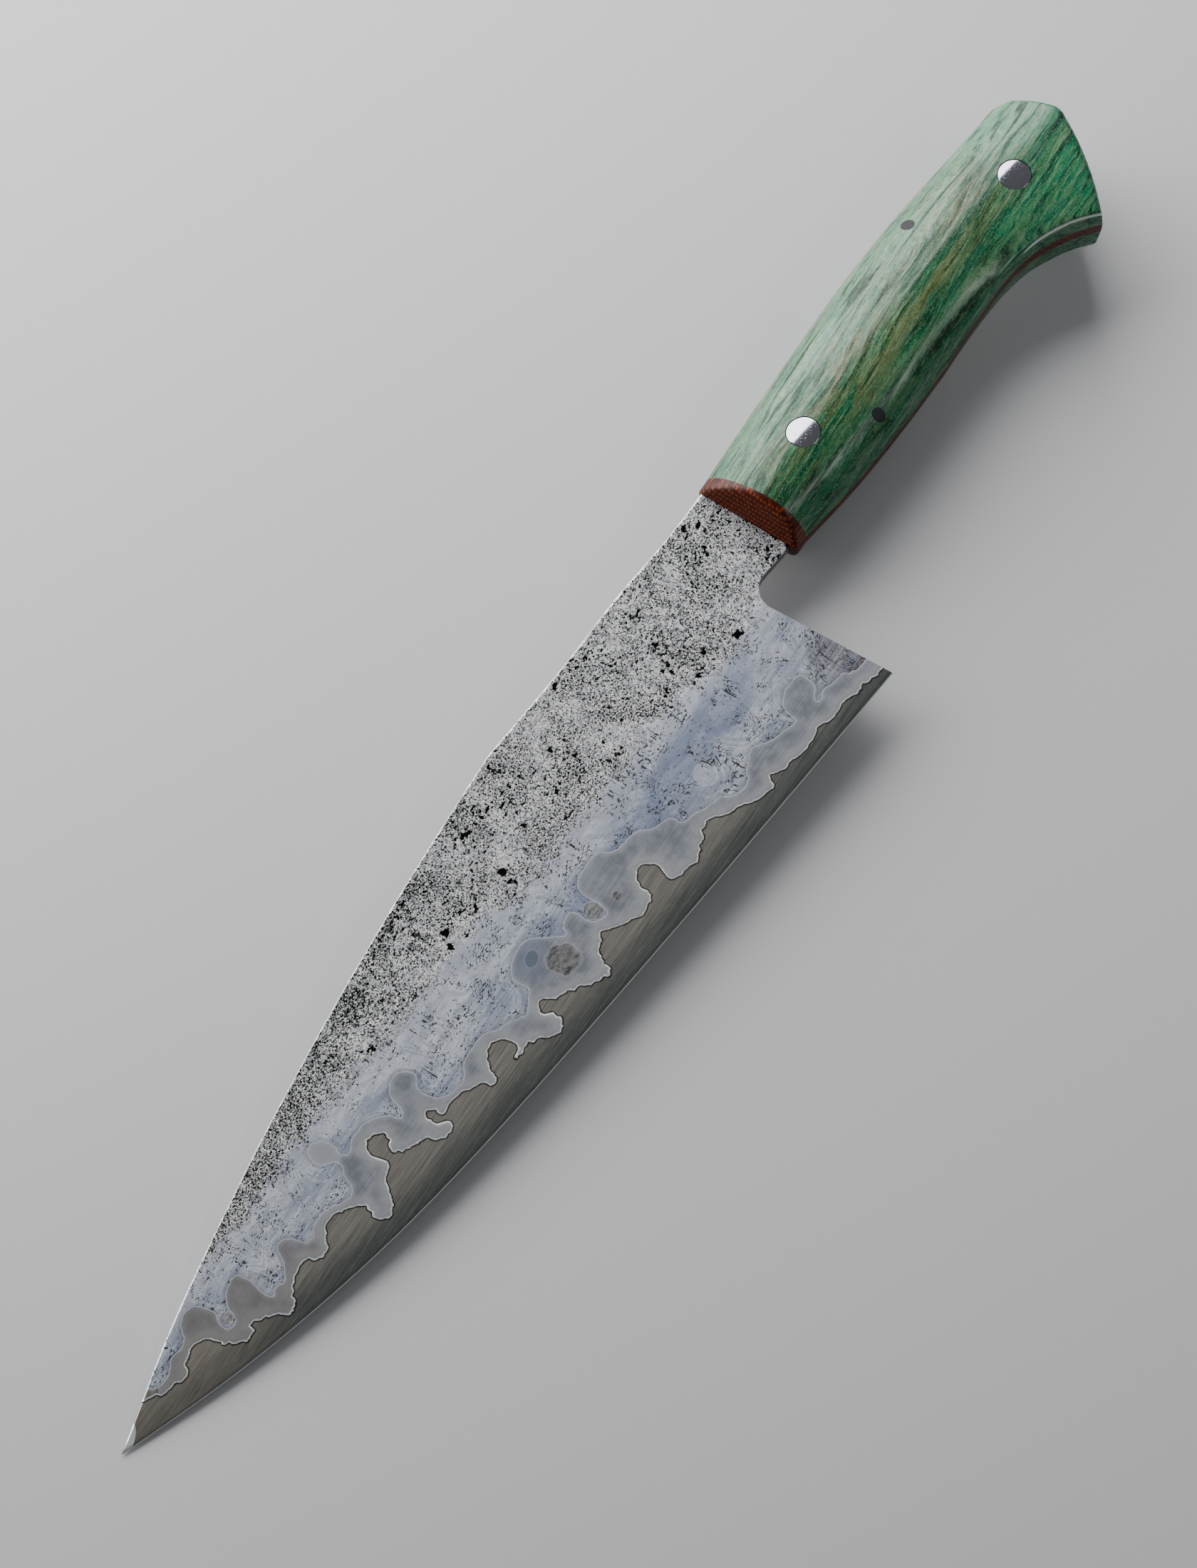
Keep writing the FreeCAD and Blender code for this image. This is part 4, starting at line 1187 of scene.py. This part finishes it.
def core_material():
    """Dark brushed carbon steel, darker and greener towards the edge, with a bright sharpened line."""
    g = Graph("core_steel")
    lines = brushed(g, 0.09, 7.0, 2)
    broad = brushed(g, 0.02, 1.3, 3)
    mottle = g.noise(g.stretch(0.5, 1.2), 1.0, 4, 0.7)
    up = g.attribute("edge_d")
    wander = g.scaled(g.noise(g.stretch(0.02, 0.2), 1.0, 2), 1.6, -0.8)
    inner = g.ramp(g.plus(up, wander), 1.5, 9.0)
    base = g.mix(inner, rgb(82, 87, 85), rgb(130, 127, 120))
    base = g.layers(base, [
        (g.ramp(g.split()[0], -195, -235, 0, 0.3), (158, 146, 132)),
        (g.times(g.ramp(broad, 0.4, 0.65, 0, 0.3), inner), (128, 125, 118))])
    light = g.scaled(inner, 0.7, 0.3)
    base = g.layers(base, [
        (g.times(g.ramp(mottle, 0.5, 0.7, 0, 0.4), light), (146, 142, 134)),
        (g.times(g.ramp(lines, 0.50, 0.70, 0, 0.45), light), (166, 162, 154)),
        (g.ramp(lines, 0.50, 0.30, 0, 0.5), (54, 55, 53))])
    from_line = g.times(g.attribute("core_d"), -1.0)
    base = g.layers(base, [
        (g.ramp(from_line, 0.42, 0.15, 0, 0.9), (30, 29, 27)),
        (g.ramp(g.attribute("tip"), 0.0, 0.08), (205, 207, 210)),
        (g.ramp(up, 0.26, 0.14), (190, 193, 195))])
    return g.finish(base_color=base, metallic=0.9, roughness=g.scaled(lines, 0.15, 0.34),
                    normal=g.bump(lines, 0.004, 0.4))


# Fine dark cracks in the wood: (y, from x, to x, half width)
WOOD_CRACKS = [(2.0, 3, 16, 0.16), (8.7, 3, 15, 0.14), (5.6, 3, 9, 0.10), (-4.5, 3, 10, 0.10),
               (12.0, 44, 50, 0.22)]


def wood_material(name, seed):
    """Green-dyed figured maple with long streaks, fine fibres, a few dark cracks and painted highlights."""
    g = Graph(name)
    x, y, z = g.split()
    depth = g.scaled(z, 0.5, seed)
    sway = g.noise(g.join(g.times(x, 0.022), g.times(y, 0.05), depth), 1.0, 2, 0.5)
    tilt = g.scaled(x, -0.04, y)
    grain_y = g.scaled(sway, 7.0, tilt)

    def along_grain(scale_x, scale_y):
        return g.join(g.times(x, scale_x), g.times(grain_y, scale_y), depth)

    streaks = g.noise(along_grain(0.011, 0.24), 1.0, 4, 0.55, 0.15)
    thin = g.noise(along_grain(0.045, 0.8), 1.0, 4, 0.6, 0.3)
    fibre_at = g.join(g.times(x, 0.4), g.times(grain_y, 2.8), g.times(z, 2.0))
    fibres = g.noise(fibre_at, 1.0, 3, 0.7)
    pores = g.noise(g.stretch(1.8, 3.4), 1.0, 2, 0.6)
    base = g.colours(streaks, [(0.34, rgb(0, 42, 28)), (0.43, rgb(0, 66, 40)), (0.49, rgb(2, 88, 54)),
                               (0.55, rgb(54, 72, 34)), (0.61, rgb(0, 86, 58)), (0.72, rgb(40, 106, 84))])
    flame = g.noise(along_grain(0.06, 0.24), 1.0, 3, 0.5, 0.6)
    in_flame = g.times(g.ramp(x, 16, 36), g.ramp(x, 112, 88))
    flame = g.times(g.ramp(flame, 0.47, 0.60), in_flame)
    base = g.mix(g.times(flame, 0.65), base, rgb(92, 94, 56))
    # Painted highlight: the wood's colour is lightened towards the spine, where the key light shines on it.
    lit = g.times(g.ramp(y, -1.0, 9.0, 0, 0.42), g.ramp(x, 4, 30, 0.55, 1.0))
    base = g.layers(base, [
        (lit, (112, 158, 134)),
        (g.times(g.ramp(x, 98, 112, 0, 0.3), g.ramp(y, -11.0, -6.0)), (112, 176, 146)),
        (g.ramp(y, -6.0, -13.0, 0, 0.45), (22, 126, 88)),
        (g.ramp(thin, 0.52, 0.64, 0, 0.5), (104, 134, 96)),
        (g.ramp(thin, 0.48, 0.36, 0, 0.8), (0, 34, 26))])
    vein = g.math("ABSOLUTE", g.plus(g.noise(along_grain(0.02, 1.6), 1.0, 2, 0.5), -0.5))
    vein_places = g.ramp(g.noise(g.stretch(0.06, 0.3), 1.0, 2), 0.46, 0.58, 0, 0.7)
    base = g.layers(base, [
        (g.times(g.ramp(vein, 0.022, 0.006), vein_places), (0, 24, 18)),
        (g.ramp(fibres, 0.52, 0.70, 0, 0.3), (138, 152, 116)),
        (g.ramp(fibres, 0.48, 0.32, 0, 0.5), (0, 30, 22)),
        (g.ramp(pores, 0.56, 0.70, 0, 0.3), (150, 164, 130)),
        (g.ramp(pores, 0.44, 0.30, 0, 0.4), (0, 26, 18))])
    cracks = 0.0
    for crack_y, from_x, to_x, width in WOOD_CRACKS:
        off = g.math("ABSOLUTE", g.scaled(sway, 2.0, g.plus(y, -1.0 - crack_y)))
        inside = g.times(g.ramp(x, from_x, from_x + 3), g.ramp(x, to_x, to_x - 4))
        cracks = g.most(cracks, g.times(g.ramp(off, width, width * 0.3), inside))
    base = g.mix(g.times(cracks, 0.85), base, rgb(14, 18, 16))
    relief = g.math("SUBTRACT", g.scaled(pores, 0.2, g.times(fibres, 0.4)), cracks)
    # Painted highlight: a pale line along the top rim of the belly cut, where its rounded edge catches the
    # light.
    under = g.math("SUBTRACT", g.attribute("top_z"), g.math("ABSOLUTE", z))
    edge_rounding_and_rim_highlight = g.times(g.ramp(g.attribute("cut_gap"), 0.42, 0.12, 0, 0.85), g.ramp(under, 0.35, 0.15))
    base = g.mix(edge_rounding_and_rim_highlight, base, rgb(214, 226, 218))
    shine = g.times(g.ramp(fibres, 0.36, 0.62, 0.6, 1.0), g.ramp(thin, 0.37, 0.60, 0.18, 0.53))
    return g.finish(base_color=base, roughness=g.scaled(fibres, 0.2, 0.16), coat_weight=0.02,
                    coat_roughness=0.15, specular_ior_level=shine, normal=g.bump(relief, 0.04, 0.5))


def micarta_material(name):
    """Burnt-orange canvas and resin: plies stacked across the knife with dashed threads."""
    g = Graph(name)
    _, y, z = g.split()
    level = g.scaled(g.noise(g.position, 0.4, 2), 0.9, z)
    ply = g.math("PINGPONG", level, 0.6)
    ply_number = g.math("FLOOR", g.times(level, 1 / 1.2))
    along = g.scaled(ply_number, 0.43, g.scaled(g.noise(g.position, 0.9, 2), 0.8, y))
    thread = g.math("PINGPONG", along, 0.5)
    weave = g.times(g.ramp(ply, 0.2, 0.48), g.ramp(thread, 0.1, 0.32))
    grain = g.noise(g.position, 2.5, 4, 0.65)
    base = g.mix(grain, rgb(34, 5, 0), rgb(62, 15, 2))
    base = g.layers(base, [
        (g.times(weave, 0.6), (146, 62, 16)),
        (g.ramp(g.noise(g.stretch(0.3, 1.2), 1.0, 3), 0.55, 0.7, 0, 0.4), (140, 52, 18))])
    return g.finish(base_color=base, roughness=0.4, specular_ior_level=0.2, coat_weight=0.06,
                    coat_roughness=0.12, normal=g.bump(weave, 0.03, 0.5))


def bolt_material():
    """Polished steel with fine scratches and a few dents."""
    g = Graph("bolt_steel")
    scratches = g.noise(g.stretch(2.5, 2.5), 1.0, 6, 0.7, 1.0)
    dents = g.ramp(g.noise(g.position, 2.2, 3, 0.6), 0.6, 0.7)
    base = g.mix(g.times(dents, 0.5), rgb(172, 172, 182), rgb(96, 96, 108))
    return g.finish(base_color=base, metallic=1.0, roughness=g.scaled(scratches, 0.14, 0.03),
                    normal=g.bump(dents, -0.012, 0.4))


def pin_material():
    """Dull charcoal."""
    g = Graph("charcoal_pin")
    grain = g.noise(g.position, 3.0, 4, 0.6)
    return g.finish(base_color=g.mix(grain, rgb(16, 18, 19), rgb(46, 48, 50)), roughness=0.5,
                    specular_ior_level=0.2, normal=g.bump(grain, 0.02, 0.4))


def glue_material():
    """Cured yellowish epoxy."""
    g = Graph("epoxy")
    grain = g.noise(g.position, 1.5, 3, 0.5)
    return g.finish(base_color=g.mix(grain, rgb(150, 138, 96), rgb(180, 168, 120)), roughness=0.25,
                    normal=g.bump(grain, 0.02, 0.3))


def dress(node, material):
    """Gives a shown CAD node its material."""
    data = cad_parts[node].data
    data.materials.clear()
    data.materials.append(material)


def dress_handle():
    dress("handle_frame", micarta_material("micarta_frame"))
    dress("tang_epoxy", glue_material())
    charcoal = pin_material()
    for node in ("small_pin_spine", "small_pin_belly"):
        dress(node, charcoal)


def dress_handle():
    """Gives the shown CAD nodes of the handle their materials."""
    dress("handle_frame", micarta_material("micarta_frame"))
    dress("tang_epoxy", glue_material())
    charcoal = pin_material()
    for node in ("small_pin_spine", "small_pin_belly"):
        dress(node, charcoal)


# ------------------------------------------------------------------ camera, floor, lights

VIEW_ELEVATION = 69.0
VIEW_HEADING = 33.1
VIEW_DISTANCE = 955.0
LOOK_AT = (-71.5, -6.85, 0.0)
LENS = 100
FILM_HEIGHT = 36


def add_object(name, data):
    """A new object in the scene."""
    made = bpy.data.objects.new(name, data)
    bpy.context.scene.collection.objects.link(made)
    return made


def make_camera():
    """A 100 mm lens that looks at the knife from above and from in front of its edge."""
    elevation = math.radians(VIEW_ELEVATION)
    heading = math.radians(VIEW_HEADING)
    forward = Vector((math.cos(elevation) * math.cos(heading),
                      math.cos(elevation) * math.sin(heading), -math.sin(elevation)))
    data = bpy.data.cameras.new("camera")
    data.sensor_fit = "VERTICAL"
    data.sensor_height = FILM_HEIGHT
    data.lens = LENS
    data.clip_start = 0.01
    camera = add_object("camera", data)
    camera.location = Vector(place(LOOK_AT)) - forward * VIEW_DISTANCE * MM
    camera.rotation_euler = forward.to_track_quat("-Z", "Y").to_euler()
    bpy.context.scene.camera = camera


# The knife lies on the front of its handle and on its tip, which is thin: the floor leans to meet both
FLOOR_SIZE = 6.0
FLOOR_GAP = 0.0001
REST_X = 8
TIP_REACH = 258
TIP_HALF = 0.4


def make_floor():
    """A pale floor under the two places the knife lies on: the front of the handle, and the tip."""
    mesh = bpy.data.meshes.new("floor")
    corners = [(x * FLOOR_SIZE, y * FLOOR_SIZE, 0) for x, y in ((-1, -1), (1, -1), (1, 1), (-1, 1))]
    mesh.from_pydata(corners, [], [(0, 1, 2, 3)])
    floor = add_object("floor", mesh)
    floor.rotation_euler = (0, math.atan2(ORIGIN[2] - TIP_HALF, TIP_REACH), 0)
    floor.location = (place((REST_X, 0, 0))[0], 0, -FLOOR_GAP)
    material = bpy.data.materials.new("floor")
    material.use_nodes = True
    shader = material.node_tree.nodes["Principled BSDF"]
    shader.inputs["Base Color"].default_value = (0.50, 0.50, 0.51, 1)
    shader.inputs["Roughness"].default_value = 0.6
    mesh.materials.append(material)


def area_light(name, spot, aim, size, power, roll=0):
    """A softbox at a spot in the knife's frame that faces another one, rolled about that line."""
    data = bpy.data.lights.new(name, "AREA")
    data.shape = "RECTANGLE"
    data.size, data.size_y = size
    data.energy = power
    light = add_object(name, data)
    light.location = Vector(place(spot))
    facing = (Vector(aim) - Vector(spot)).to_track_quat("-Z", "Y")
    light.rotation_euler = (facing @ Quaternion((0, 0, 1), math.radians(roll))).to_euler()


def make_lights():
    """A large softbox on the spine side, whose near edge the bolts mirror, and a belly-side strip."""
    area_light("key", spot=(87, 650, 252), aim=(17, 130, -158), size=(1.6, 0.70), power=26, roll=-20)
    area_light("belly", spot=(380, -900, 850), aim=(60, 0, 0), size=(0.5, 0.16), power=2)
    world = bpy.data.worlds.new("studio")
    bpy.context.scene.world = world
    world.use_nodes = True
    background = world.node_tree.nodes["Background"]
    background.inputs["Color"].default_value = (0.82, 0.84, 0.88, 1)
    background.inputs["Strength"].default_value = 0.2


make_camera()
make_floor()
make_lights()
make_blade()
make_scales()
make_bolster()
make_bolts()
dress_handle()
